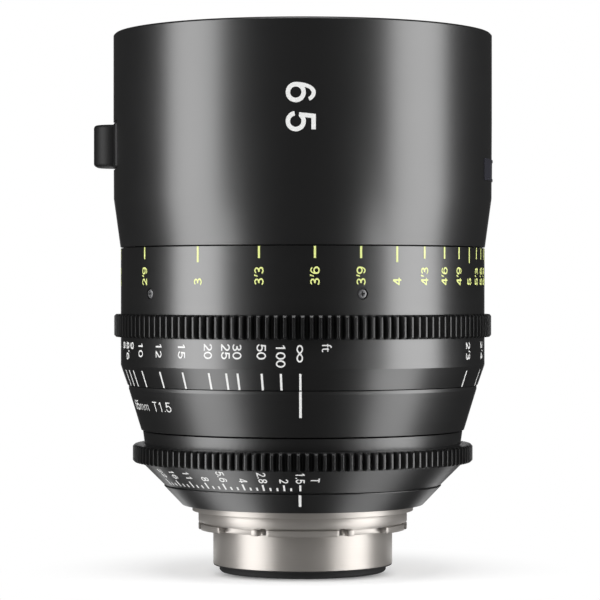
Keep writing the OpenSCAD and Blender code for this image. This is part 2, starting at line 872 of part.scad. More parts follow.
module index_body() {
    color(black) difference() {
        turned([
            [journal_r + fit_gap, z_body], [body_rear_r - edge, z_body],
            [body_rear_r, z_body + edge], [body_front_r, z_shoulder - edge],
            [body_front_r - edge, z_shoulder], [journal_r + fit_gap, z_shoulder]
        ]);
        ring(body_rear_r - body_wall, body_screw_r + body_head_r + 0.7, z_body - over,
            body_l - pocket_web_t + over);
        sector(stop_r + stop_pin_r + stop_slack, stop_r - stop_pin_r - stop_slack,
            z_shoulder - stop_groove_d, stop_groove_d + over,
            -asin((stop_pin_r + stop_slack) / stop_r),
            focus_throw + 2 * asin((stop_pin_r + stop_slack) / stop_r));
        for (az = body_screw_az) {
            axial(az, body_screw_r, body_shank_r + fit_gap, z_body, body_l + over);
            axial(az, body_screw_r, body_head_r + fit_gap, z_body - over,
                body_l - body_web_t + over);
        }
    }
}

module index_body_screws() {
    color(steel) for (az = body_screw_az) {
        axial(az, body_screw_r, body_shank_r, z_shoulder - body_web_t - body_head_t / 2,
            body_web_t + body_head_t / 2 + body_screw_in);
        axial(az, body_screw_r, body_head_r, z_shoulder - body_web_t - body_head_t, body_head_t);
    }
}

module iris_slip_ring() {
    color(brass) ring(body_screw_r + body_head_r + 0.5, journal_r + 2 * fit_gap,
        z_body - face_gap + run_gap, face_gap - run_gap);
}

// iris

module iris_ring() {
    z_top = z_iris + iris_l;
    relief_r = iris_cone_r - 1.4;
    relief_z = z_iris + 2;
    relief_top = z_drive - drive_r - 1;
    color(black) difference() {
        turned([
            [iris_bore_r, z_iris], [iris_cone_r - edge / 2, z_iris], [iris_cone_r, z_iris + edge / 2],
            [iris_r + iris_cone_step, z_iris_gear], [iris_r, z_iris_gear],
            [iris_r, z_top - edge], [iris_r - edge, z_top], [iris_bore_r, z_top],
            [iris_bore_r, relief_top], [relief_r, relief_top], [relief_r, relief_z],
            [iris_bore_r, relief_z]
        ]);
        radial(drive_az, z_drive, drive_r + fit_gap, iris_bore_r - over, iris_r + over);
    }
}

module iris_gear() {
    color(black) gear(iris_r + fit_gap, gear_pitch_r(iris_r, iris_gear_step),
        z_iris_gear, iris_gear_w);
}

module iris_drive_pin() {
    color(steel) radial(drive_az, z_drive, drive_r, journal_bore_r - rim_t - 0.3, iris_r - edge);
}

// a blade's drive pin in the cam ring's frame, where t runs from open to closed
function drive_point(t) = turn(
    [pivot_r + lever * cos(lever_start + t * blade_swing), lever * sin(lever_start + t * blade_swing)],
    -t * iris_throw);
function drive_side(t) = let (d = unit(drive_point(t + 0.01) - drive_point(t - 0.01))) [-d[1], d[0]];

module blade_slot() {
    w = drive_pin_r + run_gap;
    steps = [for (i = [0 : cam_slot_steps]) -cam_slot_over + (1 + 2 * cam_slot_over) * i / cam_slot_steps];
    near = [for (t = steps) drive_point(t) + w * drive_side(t)];
    far = [for (i = [cam_slot_steps : -1 : 0]) drive_point(steps[i]) - w * drive_side(steps[i])];
    translate([0, 0, z_cam_ring - over]) linear_extrude(cam_ring_t + 2 * over) polygon(concat(near, far));
}

module iris_cam_ring() {
    color(brass) difference() {
        ring(journal_bore_r - run_gap, aperture_r + 0.5, z_cam_ring, cam_ring_t);
        for (i = [0 : blade_count - 1]) at(i * 360 / blade_count) blade_slot();
        radial(drive_az, z_drive, drive_r + fit_gap, journal_bore_r - rim_t - 0.3, journal_r);
    }
}

module iris_base_ring() {
    color(dark) difference() {
        turned([
            [aperture_r, z_base], [journal_bore_r - fit_gap, z_base],
            [journal_bore_r - fit_gap, z_cam_ring - 2 * run_gap],
            [journal_bore_r - rim_t, z_cam_ring - 2 * run_gap],
            [journal_bore_r - rim_t, z_base + base_t], [aperture_r, z_base + base_t]
        ]);
        for (i = [0 : blade_count - 1])
            axial(i * 360 / blade_count, pivot_r, pivot_pin_r + run_gap, z_base - over, base_t + 2 * over);
    }
}

module iris_cap_ring() {
    color(dark) ring(journal_bore_r - fit_gap, pivot_r - lever, z_cam_ring + cam_ring_t + 2 * run_gap,
        iris_cap_t);
}

module iris_blade(i) {
    z = z_blades + i * blade_pitch;
    pin = drive_point(0);
    arm = 2.4;
    color(dark) at(i * 360 / blade_count) {
        translate([0, 0, z]) linear_extrude(blade_t) {
            intersection() {
                difference() {
                    circle(r = aperture_r + blade_w);
                    circle(r = aperture_r);
                }
                polygon(concat([[0, 0]], [for (a = [-2 : 30 : blade_sweep]) turn([2 * pivot_r, 0], a)]));
            }
            translate([aperture_r + blade_w - 1, -arm / 2])
                square([pivot_r - aperture_r - blade_w + 1, arm]);
            translate([pivot_r, 0]) rotate(lever_start) translate([0, -arm / 2]) square([lever, arm]);
            translate([pivot_r, 0]) circle(d = arm);
            translate(pin) circle(d = arm);
        }
        translate([pivot_r, 0, z_base + 0.3]) cylinder(r = pivot_pin_r, h = z - z_base - 0.3 + blade_t);
        translate([pin[0], pin[1], z]) cylinder(r = drive_pin_r, h = z_cam_ring + cam_ring_t - 0.5 - z);
    }
}

// index ring

module index_ring() {
    color(black) difference() {
        turned([
            [index_seat_r + fit_gap, z_index], [index_cone_r - edge, z_index],
            [index_cone_r, z_index + edge / 2], [index_front_r, z_journal - edge / 2],
            [index_front_r - edge / 2, z_journal], [index_seat_r + fit_gap, z_journal]
        ]);
        for (az = index_screw_az)
            radial(az, z_index_screw, index_screw_r + fit_gap, index_seat_r - over, big);
    }
}

module index_ring_screws() {
    color(steel) for (az = index_screw_az)
        radial(az, z_index_screw, index_screw_r, index_seat_r - index_screw_in,
            index_seat_r - index_screw_in + index_screw_l);
}

// rear cell

module rear_cell() {
    color(dark) turned([
        [last_glass_r + fit_gap, rear_end_up - pl_l], [rear_cell_r, rear_end_up - pl_l],
        [rear_cell_r, z_rear_seat], [rear_flange_r, z_rear_seat], [rear_flange_r, z_base],
        [rear_glass_r + fit_gap, z_base], [rear_glass_r + fit_gap, z_rear_glass],
        [rear_lip_r, z_rear_glass], [rear_lip_r, z_rear_glass - rear_lip_t],
        [last_glass_r + fit_gap, z_rear_glass - rear_lip_t]
    ]);
}

module rear_element_front() {
    lens(rear_glass_r, rear_glass_r - retain_w, z_rear_glass, rear_rim_t,
        rear_front_curve, 0);
}

module rear_front_retainer() {
    z = z_rear_glass + rear_rim_t;
    color(black) ring(rear_glass_r, rear_glass_r - retain_w, z, z_base - z - 1);
}

module rear_element_last() {
    lens(last_glass_r, last_glass_r - retain_w, z_rear_glass - rear_lip_t - rear_rim_t, rear_rim_t,
        0, last_curve);
}

module rear_retainer() {
    z = z_rear_glass - rear_lip_t - rear_rim_t;
    color(black) ring(last_glass_r, last_glass_r - retain_w, rear_end_up - pl_l, z - rear_end_up + pl_l);
}

// mount

module mount_barrel() {
    color(steel) turned([
        [pl_bore_r, -pl_l], [pl_r - edge, -pl_l], [pl_r, edge - pl_l], [pl_r, 0],
        [pl_spigot_r, 0], [pl_spigot_r, mount_h], [pl_bore_r, mount_h]
    ]);
}

module at_mount_screws() {
    for (az = notch_azs) rotate(az - 90) translate([mount_screw_r, 0]) children();
}

module layer(z, h) {
    translate([0, 0, z]) linear_extrude(h) children();
}

module tabs_outline() {
    reach = flange_r + over;
    difference() {
        circle(r = flange_r);
        for (az = tab_gap_azs) rotate(az - 90)
            translate([tab_floor, -tab_gap / 2]) square([reach, tab_gap]);
        at_mount_screws() {
            circle(r = notch_r);
            translate([0, run_gap - notch_r]) square([reach, 2 * (notch_r - run_gap)]);
        }
    }
}

module mount_flange() {
    ring_z = tab_t + neck_t;
    head_z = ring_z + mount_head_t;
    color(steel) difference() {
        union() {
            layer(0, tab_t) tabs_outline();
            layer(tab_t, neck_t) difference() {
                circle(r = neck_r);
                at_mount_screws() circle(r = notch_r);
            }
            layer(ring_z, mount_head_t) difference() {
                circle(r = flange_r);
                at_mount_screws() circle(r = mount_head_r + fit_gap);
            }
            layer(head_z, mount_h - head_z) difference() {
                circle(r = flange_r);
                at_mount_screws() circle(r = mount_shank_r + fit_gap);
            }
        }
        translate([0, 0, -over]) cylinder(r = pl_spigot_r + fit_gap, h = mount_h + 2 * over);
        translate([0, 0, -over]) cylinder(r = pl_r + fit_gap, h = over + 2 * fit_gap);
    }
}

module mount_shim() {
    color(brass) difference() {
        ring(flange_r - 0.2, pl_bore_r + 0.2, mount_h, shim_t);
        mount_bores(mount_shank_r + fit_gap, mount_h - over, shim_t + 2 * over);
    }
}

module mount_screws() {
    z_head = tab_t + neck_t;
    color(steel) {
        mount_bores(mount_head_r, z_head, mount_head_t);
        mount_bores(mount_shank_r, z_head + mount_head_t / 2,
            z_lip + mount_screw_in - fit_gap - z_head - mount_head_t / 2);
    }
}

module rear_baffle_ring() {
    color(black) turned([
        [baffle_open_r, -pl_l - baffle_h], [baffle_r - edge, -pl_l - baffle_h],
        [baffle_r, edge - pl_l - baffle_h], [baffle_r, -pl_l], [pl_bore_r - fit_gap, -pl_l],
        [pl_bore_r - fit_gap, rear_end_up - pl_l], [last_glass_r, rear_end_up - pl_l],
        [last_glass_r, -pl_l], [baffle_open_r, -pl_l]
    ]);
}

front_barrel();
front_trim_ring();
front_cell();
front_cell_screws();
front_cell_retainer();
front_element();
front_spacer();
second_element();
support_foot();
support_foot_screws();
badge_plate();
main_barrel();
barrel_lock_ring();
front_slip_ring();
rear_slip_ring();
focus_ring();
focus_gear();
focus_scale_ring();
scale_ring_screws();
cam_sleeve();
cam_sleeve_dowels();
focus_stop_pin();
focus_cell();
cam_follower();
guide_keys();
focus_element_front();
focus_element_rear();
focus_front_retainer();
focus_rear_retainer();
index_body();
index_body_screws();
iris_slip_ring();
iris_ring();
iris_gear();
iris_drive_pin();
iris_cam_ring();
iris_base_ring();
iris_cap_ring();
iris_blade(0);  // iris_blade_1
iris_blade(1);  // iris_blade_2
iris_blade(2);  // iris_blade_3
iris_blade(3);  // iris_blade_4
iris_blade(4);  // iris_blade_5
iris_blade(5);  // iris_blade_6
iris_blade(6);  // iris_blade_7
iris_blade(7);  // iris_blade_8
iris_blade(8);  // iris_blade_9
index_ring();
index_ring_screws();
rear_cell();
rear_element_front();
rear_element_last();
rear_front_retainer();
rear_retainer();
mount_barrel();
mount_flange();
mount_shim();
mount_screws();
rear_baffle_ring();
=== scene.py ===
import math

import bmesh
import bpy
from mathutils import Matrix, Vector


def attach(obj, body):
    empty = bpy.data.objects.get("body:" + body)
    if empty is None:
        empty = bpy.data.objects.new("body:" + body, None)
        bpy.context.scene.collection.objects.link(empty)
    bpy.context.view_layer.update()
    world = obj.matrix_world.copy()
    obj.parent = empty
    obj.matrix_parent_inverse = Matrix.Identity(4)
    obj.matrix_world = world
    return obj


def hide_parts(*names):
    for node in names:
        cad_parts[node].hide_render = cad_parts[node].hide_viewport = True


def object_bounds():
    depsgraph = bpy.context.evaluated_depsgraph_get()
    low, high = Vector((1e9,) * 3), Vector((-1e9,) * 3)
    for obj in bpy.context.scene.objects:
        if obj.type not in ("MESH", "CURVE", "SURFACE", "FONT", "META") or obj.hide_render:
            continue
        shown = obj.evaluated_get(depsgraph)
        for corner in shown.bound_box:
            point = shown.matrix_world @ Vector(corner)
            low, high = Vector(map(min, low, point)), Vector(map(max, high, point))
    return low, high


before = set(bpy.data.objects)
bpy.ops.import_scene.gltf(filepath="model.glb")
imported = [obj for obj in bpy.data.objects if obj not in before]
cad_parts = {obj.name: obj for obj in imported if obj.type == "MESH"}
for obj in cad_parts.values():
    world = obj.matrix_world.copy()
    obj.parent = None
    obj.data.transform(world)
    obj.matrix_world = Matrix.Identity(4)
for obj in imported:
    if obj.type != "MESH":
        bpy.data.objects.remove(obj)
cadLow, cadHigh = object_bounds()
print("frame loaded:", len(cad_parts), "CAD nodes")

millimetre = 0.001  # pieces are drawn in millimetres and shrunk when they are seated
weldGap = 0.0005
hair = 0.01  # slack in tests of place
fullTurn = 2 * math.pi
turnSteps = 240
sharpAngle = 25  # edges that turn by more degrees are rounded
outward = (0, 90, 0)  # turns an upright piece to face out on the +X side


# hand tools

def leaveEdit():
    active = bpy.context.view_layer.objects.active
    if active and active.mode != "OBJECT":
        bpy.ops.object.mode_set(mode="OBJECT")


def pickOnly(*pieces):
    leaveEdit()
    bpy.ops.object.select_all(action="DESELECT")
    for piece in pieces:
        piece.select_set(True)
    if pieces:
        bpy.context.view_layer.objects.active = pieces[0]


def added(maker, **settings):
    pickOnly()
    maker(**settings)
    return bpy.context.object


def openMesh(piece):
    pickOnly(piece)
    bpy.ops.object.mode_set(mode="EDIT")


def takeAll():
    bpy.ops.mesh.select_all(action="SELECT")


def chooseParts(piece, kind, test):
    # selects edges or faces of the open mesh by their place
    bpy.ops.mesh.select_mode(type=kind)
    bpy.ops.mesh.select_all(action="DESELECT")
    mesh = bmesh.from_edit_mesh(piece.data)
    for part in {"EDGE": mesh.edges, "FACE": mesh.faces}[kind]:
        if test(part):
            part.select_set(True)
    mesh.select_flush_mode()
    bmesh.update_edit_mesh(piece.data)


def rise(edge):
    return abs(edge.verts[0].co.z - edge.verts[1].co.z)


def bevelEdges(piece, test, width, segments):
    chooseParts(piece, "EDGE", test)
    bpy.ops.mesh.bevel(offset=width, segments=segments, affect="EDGES")


def openSides(piece, turn):
    # takes off the two flat sides of a sector with this half angle
    chooseParts(piece, "FACE", lambda f: len({v.co.y > 0 for v in f.verts}) == 1 and all(
        abs(math.atan2(v.co.y, v.co.x)) > turn for v in f.verts))
    bpy.ops.mesh.delete(type="FACE")


def pullUp(height):
    # fills the chosen outline and makes a block of it
    bpy.ops.mesh.edge_face_add()
    bpy.ops.mesh.extrude_region_move(TRANSFORM_OT_translate={"value": (0, 0, height)})


def weldAll():
    bpy.ops.mesh.select_mode(type="VERT")
    takeAll()
    bpy.ops.mesh.remove_doubles(threshold=weldGap)
    bpy.ops.mesh.normals_make_consistent(inside=False)


def weldPiece(piece):
    openMesh(piece)
    weldAll()
    leaveEdit()


def drawOutline(name, points, closed=True):
    # a plane gathered into one point, which is then pulled along the outline
    piece = added(bpy.ops.mesh.primitive_plane_add, size=1)
    piece.name = name
    bpy.ops.object.mode_set(mode="EDIT")
    bpy.ops.mesh.select_mode(type="VERT")
    takeAll()
    bpy.ops.mesh.merge(type="CENTER")
    bpy.ops.transform.translate(value=points[0])
    path = points + points[:1] if closed else points
    for here, there in zip(path, path[1:]):
        pull = Vector(there) - Vector(here)
        bpy.ops.mesh.extrude_vertices_move(TRANSFORM_OT_translate={"value": pull})
    takeAll()
    bpy.ops.mesh.remove_doubles(threshold=weldGap)
    return piece


def turnPiece(name, profile, sweep=360, steps=turnSteps, closed=True):
    # a profile of radius and height, turned round the optical axis
    piece = drawOutline(name, [(r, 0, z) for r, z in profile], closed)
    bpy.ops.mesh.spin(steps=steps, angle=math.radians(sweep), center=(0, 0, 0), axis=(0, 0, 1))
    weldAll()
    if sweep < 360:
        bpy.ops.mesh.fill_holes(sides=0)
        weldAll()
    leaveEdit()
    return piece


def applyModifier(piece, kind, **settings):
    pickOnly(piece)
    modifier = piece.modifiers.new(kind.title(), kind)
    for key, value in settings.items():
        setattr(modifier, key, value)
    bpy.ops.object.modifier_apply(modifier=modifier.name)


def roundEdges(piece, width, segments=2, angle=sharpAngle):
    applyModifier(piece, "BEVEL", width=width, segments=segments, limit_method="ANGLE",
                  angle_limit=math.radians(angle))


def combine(piece, operation, others):
    for other in others:
        applyModifier(piece, "BOOLEAN", operation=operation, solver="EXACT", object=other)
        bpy.data.objects.remove(other)


def cutAway(piece, *cutters):
    combine(piece, "DIFFERENCE", cutters)


def weldOn(piece, *others):
    combine(piece, "UNION", others)


def placePiece(piece, move=(0, 0, 0), turn=(0, 0, 0)):
    pickOnly(piece)
    piece.location = move
    piece.rotation_euler = [math.radians(a) for a in turn]
    bpy.ops.object.transform_apply()
    return piece


def copyPiece(piece, name):
    twin = piece.copy()
    twin.data = piece.data.copy()
    twin.name = name
    bpy.context.scene.collection.objects.link(twin)
    return twin


def joinPieces(name, pieces):
    pickOnly(*pieces)
    if len(pieces) > 1:
        bpy.ops.object.join()
    pieces[0].name = name
    return pieces[0]


def ringOfCopies(piece, azimuths):
    # a piece modelled on the +X side, copied round the axis
    twins = [placePiece(copyPiece(piece, piece.name + str(n)), turn=(0, 0, azimuth - 90))
             for n, azimuth in enumerate(azimuths)]
    bpy.data.objects.remove(piece)
    return twins


def ringOf(name, piece, place, turn, azimuths):
    return joinPieces(name, ringOfCopies(placePiece(piece, place, turn), azimuths))


def addRod(name, sides, radius, depth, place=(0, 0, 0)):
    rod = added(bpy.ops.mesh.primitive_cylinder_add, vertices=sides, radius=radius, depth=depth)
    rod.name = name
    return placePiece(rod, place)


def turnRing(name, shape):
    ring = turnPiece(name, shape["profile"])
    roundEdges(ring, shape["edge"], angle=shape.get("edgeAngle", sharpAngle))
    return ring


def turnSector(name, shape, profile, sweep, azimuth=0):
    # part of a ring, with its middle at an azimuth counted from +X
    sector = turnPiece(name, shape[profile], shape[sweep], shape["steps"])
    return placePiece(sector, turn=(0, 0, azimuth + shape[sweep] / 2))


def cutBores(piece, bore, place, turn, azimuths):
    rod = addRod("bore", bore["sides"], bore["radius"], bore["depth"])
    cutAway(piece, ringOf("bores", rod, place, turn, azimuths))


def dress(piece, finish):
    piece.data.materials.clear()
    piece.data.materials.append(finish)


def seatPiece(piece, body, finish, slotName, *nodes, smooth=12):
    pickOnly(piece)
    piece.scale = (millimetre,) * 3
    bpy.ops.object.transform_apply()
    bpy.ops.object.shade_smooth_by_angle(angle=math.radians(smooth))
    dress(piece, finish)
    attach(piece, body)
    if nodes:
        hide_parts(*nodes)


# finishes

class Wire:
    # one socket of a finish, so that shader sums read as sums
    def __init__(self, tree, socket=None):
        self.tree = tree
        self.socket = socket

    def add(self, kind, settings=None, sockets=None, take=0):
        node = self.tree.nodes.new("ShaderNode" + kind)
        for key, value in (settings or {}).items():
            setattr(node, key, value)
        for key, value in (sockets or {}).items():
            if isinstance(value, Wire):
                self.tree.links.new(value.socket, node.inputs[key])
            else:
                node.inputs[key].default_value = value
        return Wire(self.tree, node.outputs[take] if node.outputs else None)

    def sum(self, operation, first, second):
        return self.add("Math", {"operation": operation}, {0: first, 1: second})

    def signOf(operation, turned=False):
        return lambda self, other: self.sum(operation, *((other, self) if turned else (self, other)))

    __add__, __radd__ = signOf("ADD"), signOf("ADD", True)
    __sub__, __rsub__ = signOf("SUBTRACT"), signOf("SUBTRACT", True)
    __mul__, __rmul__ = signOf("MULTIPLY"), signOf("MULTIPLY", True)
    __pow__ = signOf("POWER")


def newFinish(name):
    finish = bpy.data.materials.new(name)
    finish.use_nodes = True
    finish.node_tree.nodes.clear()
    return finish, Wire(finish.node_tree)


def mixColours(wire, share, first, second):
    return wire.add("Mix", {"data_type": "RGBA"}, {0: share, 6: first, 7: second}, take=2)


def objectSpot(wire):
    return wire.add("TexCoord", take="Object")


def turnedPlace(wire, spot):
    # radius and height, for the marks of the lathe
    apart = wire.add("SeparateXYZ", None, {0: spot}).socket.node
    x, y, z = (Wire(wire.tree, socket) for socket in apart.outputs)
    radius = (x * x + y * y) ** 0.5
    return wire.add("CombineXYZ", None, {0: radius, 1: z, 2: 0.0})


def noiseOf(wire, place, look, kind):
    return wire.add("TexNoise", None, {
        "Vector": place, "Scale": look[kind + "Scale"], "Detail": look[kind + "Detail"],
        "Roughness": look.get(kind + "Rough", noiseRough)})


def reliefOf(wire, strength, height):
    return wire.add("Bump", None, {"Strength": strength, "Distance": reliefStep, "Height": height})


def closeFinish(finish, wire, sockets):
    shader = wire.add("BsdfPrincipled", None, sockets)
    wire.add("OutputMaterial", None, {"Surface": shader})
    return finish


def metalFinish(name, **changes):
    # lathe lines and a blasted grain over one metal or its anodised skin
    look = dict(blackLook, **changes)
    finish, wire = newFinish(name)
    spot = objectSpot(wire)
    across = turnedPlace(wire, spot)
    lines, bands = (noiseOf(wire, across, look, kind) for kind in ("line", "band"))
    grain, cloud = (noiseOf(wire, spot, look, kind) for kind in ("grain", "cloud"))
    share = cloud * look["cloudShare"] + lines * look["lineShare"]
    rough = (look["rough"] + look["roughLines"] * (lines - noiseMiddle)
             + look["roughCloud"] * (cloud - noiseMiddle))
    height = lines * look["lineDepth"] + bands * look["bandDepth"] + grain * look["grainDepth"]
    return closeFinish(finish, wire, {
        "Base Color": mixColours(wire, share, look["dark"], look["light"]), "Roughness": rough,
        "Metallic": look["metal"], "Specular IOR Level": look["gloss"], "IOR": look["ior"],
        "Normal": reliefOf(wire, look["relief"], height)})


def paintFinish(name, dark, light):
    # enamel pressed into a mark, a little uneven
    finish, wire = newFinish(name)
    spot = objectSpot(wire)
    patch, speck = (noiseOf(wire, spot, paintLook, kind) for kind in ("patch", "speck"))
    return closeFinish(finish, wire, {
        "Base Color": mixColours(wire, patch, dark, light),
        "Roughness": paintLook["rough"] + paintLook["roughSpeck"] * (speck - noiseMiddle),
        "Specular IOR Level": paintLook["gloss"],
        "Normal": reliefOf(wire, paintLook["relief"], speck)})


def glassFinish(name, tint):
    # coated glass with a breath of haze, the coating's strength in its tint
    finish, wire = newFinish(name)
    haze = noiseOf(wire, objectSpot(wire), glassLook, "haze")
    return closeFinish(finish, wire, {
        "Base Color": glassLook["body"], "Roughness": glassLook["rough"] * haze,
        "IOR": glassLook["ior"], "Transmission Weight": 1.0, "Specular Tint": tint})


def grey(shade, blue):
    return (shade, shade, blue, 1)


reliefStep = 0.00002  # metres of relief at full strength
noiseMiddle = noiseRough = 0.5
blackLook = {
    "dark": grey(0.0035, 0.0037), "light": grey(0.006, 0.0062), "rough": 0.31,
    "roughLines": 0.05, "roughCloud": 0.03, "metal": 0.0, "gloss": 1.0, "ior": 1.58,
    "lineScale": 2600.0, "lineDetail": 3.0, "lineRough": 0.65, "lineDepth": 0.5, "lineShare": 0.4,
    "bandScale": 420.0, "bandDetail": 1.0, "bandDepth": 0.7,
    "grainScale": 5200.0, "grainDetail": 2.0, "grainDepth": 0.5,
    "cloudScale": 60.0, "cloudDetail": 3.0, "cloudShare": 0.6, "relief": 0.12,
}
paintLook = {"patchScale": 900.0, "patchDetail": 3.0, "speckScale": 5200.0, "speckDetail": 1.0,
             "relief": 0.12, "rough": 0.36, "roughSpeck": 0.2, "gloss": 0.8}
glassLook = {"body": (0.97, 0.98, 0.99, 1), "hazeScale": 140.0, "hazeDetail": 4.0,
             "hazeRough": 0.6, "rough": 0.03, "ior": 1.62}
satinBlack = metalFinish("satinBlack")
ringBlack = metalFinish("ringBlack", dark=grey(0.0015, 0.0016), light=grey(0.003, 0.0031),
                        rough=0.295, ior=1.63, bandDepth=0.3, relief=0.1)
lowerBlack = metalFinish("lowerBlack", dark=grey(0.002, 0.0021), light=grey(0.004, 0.0041),
                         rough=0.32, roughLines=0.12, bandDepth=1.0, relief=0.25)
gearBlack = metalFinish("gearBlack", dark=grey(0.0015, 0.0016), light=grey(0.003, 0.0031),
                        rough=0.35, ior=1.44, relief=0.1)
footBlack = metalFinish("footBlack", rough=0.5, gloss=0.36, ior=1.45, grainDepth=1.0, relief=0.3)
innerBlack = metalFinish("innerBlack", dark=grey(0.004, 0.0042), light=grey(0.008, 0.0082),
                         rough=0.72, gloss=0.35, relief=0.35)
screwBlack = metalFinish("screwBlack", dark=grey(0.1, 0.103), light=grey(0.16, 0.164),
                         rough=0.36, metal=0.3, relief=0.15)
turnedSteel = metalFinish("turnedSteel", dark=(0.34, 0.315, 0.29, 1), light=(0.48, 0.455, 0.43, 1),
                          rough=0.36, roughLines=0.2, metal=0.7, gloss=0.5, lineScale=3000.0,
                          lineDepth=1.0, grainDepth=0.0, relief=0.3)
plainSteel = metalFinish("plainSteel", dark=grey(0.42, 0.42), light=grey(0.56, 0.55),
                         rough=0.28, metal=1.0, gloss=0.5, relief=0.2)
bladeSteel = metalFinish("bladeSteel", dark=grey(0.035, 0.038), light=grey(0.06, 0.064),
                         rough=0.42, metal=0.8, relief=0.1)
turnedBrass = metalFinish("turnedBrass", dark=(0.52, 0.36, 0.13, 1), light=(0.68, 0.5, 0.22, 1),
                          rough=0.3, metal=1.0, gloss=0.5, relief=0.25)
badgeBlack = metalFinish("badgeBlack", dark=grey(0.012, 0.018), light=grey(0.02, 0.03), rough=0.32)
whiteFill = paintFinish("whiteFill", grey(0.74, 0.73), grey(0.84, 0.83))
limeFill = paintFinish("limeFill", (0.72, 0.79, 0.25, 1), (0.82, 0.89, 0.32, 1))
frontGlass = glassFinish("frontGlass", (0.2, 0.15, 0.34, 1))
innerGlass = glassFinish("innerGlass", (0.06, 0.13, 0.11, 1))
rearGlass = glassFinish("rearGlass", (0.4, 0.28, 0.14, 1))
print("finishes made")


# front barrel with its filter thread, foot and badge

frontShell = {
    "outside": [(44.7, 84.8), (53.0, 84.8), (53.0, 84.6), (54.9, 84.6), (56.9, 99.2), (57, 122.6),
                (57, 148.1), (56.5, 148.6), (56.0, 148.6)],
    "thread": {"top": 148.2, "pitch": 1.1, "turns": 5, "crest": 55.6, "root": 56.05,
               "crestEnd": 0.2, "rootAt": 0.55, "crestStart": 0.9},
    "inside": [(55.6, 142.6), (54.2, 142.6), (54.2, 130.6), (47.95, 130.6), (47.95, 127.6),
               (54.2, 127.6), (54.2, 99.2), (52.2, 88.8), (44.7, 88.8)],
    "edge": 0.1,
}


def threadLine(thread):
    points = []
    for n in range(thread["turns"]):
        z = thread["top"] - n * thread["pitch"]
        points += [(thread["crest"], z), (thread["crest"], z - thread["crestEnd"]),
                   (thread["root"], z - thread["rootAt"]), (thread["crest"], z - thread["crestStart"])]
    return points


frontShell["profile"] = frontShell["outside"] + threadLine(frontShell["thread"]) + frontShell["inside"]
shell = turnRing("frontShell", frontShell)

footShape = {
    "saddle": [(55.4, 108.3), (57.24, 108.3), (57.3, 121.7), (55.4, 121.7)], "saddleSweep": 28.3,
    "groove": [(56.45, 107.75), (57.6, 107.75), (57.6, 122.25), (56.45, 122.25)],
    "grooveSweep": 30.0, "saddleEdge": 0.5, "steps": 40,
    "block": (9.4, 19, 12.5), "blockMiddle": (58.1, 0, 115), "face": 62.8, "back": 54.0,
    "corner": 6.2, "cornerSteps": 8, "edge": 1.0, "edgeSteps": 4, "sharp": 1.2,
}
footTap = {"radius": 2.55, "mouth": 2.95, "root": 2.8, "lead": 0.4, "rootAt": 0.75, "crestAt": 1.15,
           "pitch": 0.8, "turns": 5, "depth": 5.0, "tip": 0.8, "above": 0.5, "steps": 64}
cutAway(shell, turnSector("saddleGroove", footShape, "groove", "grooveSweep", 180))
seatPiece(shell, "lens_barrel", satinBlack, "black_anodised", "front_barrel")
saddle = turnSector("saddle", footShape, "saddle", "saddleSweep")
roundEdges(saddle, footShape["saddleEdge"], segments=1)
foot = added(bpy.ops.mesh.primitive_cube_add, size=1, scale=footShape["block"])
foot.name = "supportFoot"
placePiece(foot, footShape["blockMiddle"])
openMesh(foot)
outer = footShape["face"] - hair
bevelEdges(foot, lambda e: all(v.co.x > outer for v in e.verts) and rise(e) > hair,
           footShape["corner"], footShape["cornerSteps"])
bevelEdges(foot, lambda e: e.calc_face_angle(0) > footShape["sharp"] and rise(e) < hair
           and max(v.co.x for v in e.verts) > footShape["back"], footShape["edge"], footShape["edgeSteps"])
leaveEdit()
tapLine = [(0, footTap["above"]), (footTap["mouth"], footTap["above"]), (footTap["mouth"], 0),
           (footTap["radius"], -footTap["lead"])]
for n in range(footTap["turns"]):
    tapLine += [(footTap["root"], -footTap["rootAt"] - footTap["pitch"] * n),
                (footTap["radius"], -footTap["crestAt"] - footTap["pitch"] * n)]
tapLine += [(footTap["radius"], -footTap["depth"]), (0, -footTap["depth"] - footTap["tip"])]
tap = turnPiece("footTap", tapLine, steps=footTap["steps"], closed=False)
placePiece(tap, (footShape["face"], 0, footShape["blockMiddle"][2]), outward)
weldOn(foot, saddle)
cutAway(foot, tap)
placePiece(foot, turn=(0, 0, 180))
seatPiece(foot, "lens_barrel", footBlack, "black_anodised", "support_foot", smooth=30)

badgeShape = {"profile": [(56.4, 104.3), (57.22, 104.3), (57.26, 110.7), (56.4, 110.7)], "sweep": 41.0,
              "steps": 22, "face": 57.0, "frame": 0.7, "sunk": 0.18, "edge": 0.08, "edgeAngle": 35}
badge = turnSector("badgePlate", badgeShape, "profile", "sweep")
openMesh(badge)
chooseParts(badge, "FACE", lambda f: f.calc_center_median().xy.length > badgeShape["face"])
bpy.ops.mesh.inset(thickness=badgeShape["frame"], depth=0)
bpy.ops.mesh.inset(thickness=badgeShape["sunk"], depth=-badgeShape["sunk"])
leaveEdit()
roundEdges(badge, badgeShape["edge"], angle=badgeShape["edgeAngle"])
seatPiece(badge, "lens_barrel", badgeBlack, "blackened_metal", "badge_plate", smooth=30)
print("front barrel, foot and badge made")


# stepped trim inside the front rim

trimShape = {"base": 133.6, "low": 134.6, "step": 4 / 3, "inner": 43.0, "outer": 53.0, "steps": 6,
             "rim": 54.15, "edge": 0.12}


def trimLine(trim):
    wide = (trim["outer"] - trim["inner"]) / trim["steps"]
    top = trim["low"] + trim["steps"] * trim["step"]
    points = [(trim["inner"], trim["base"]), (trim["rim"], trim["base"]), (trim["rim"], top)]
    for n in range(trim["steps"], 0, -1):
        z = trim["low"] + n * trim["step"]
        points += [(trim["inner"] + n * wide, z), (trim["inner"] + (n - 1) * wide, z)]
    return points + [(trim["inner"], trim["low"])]


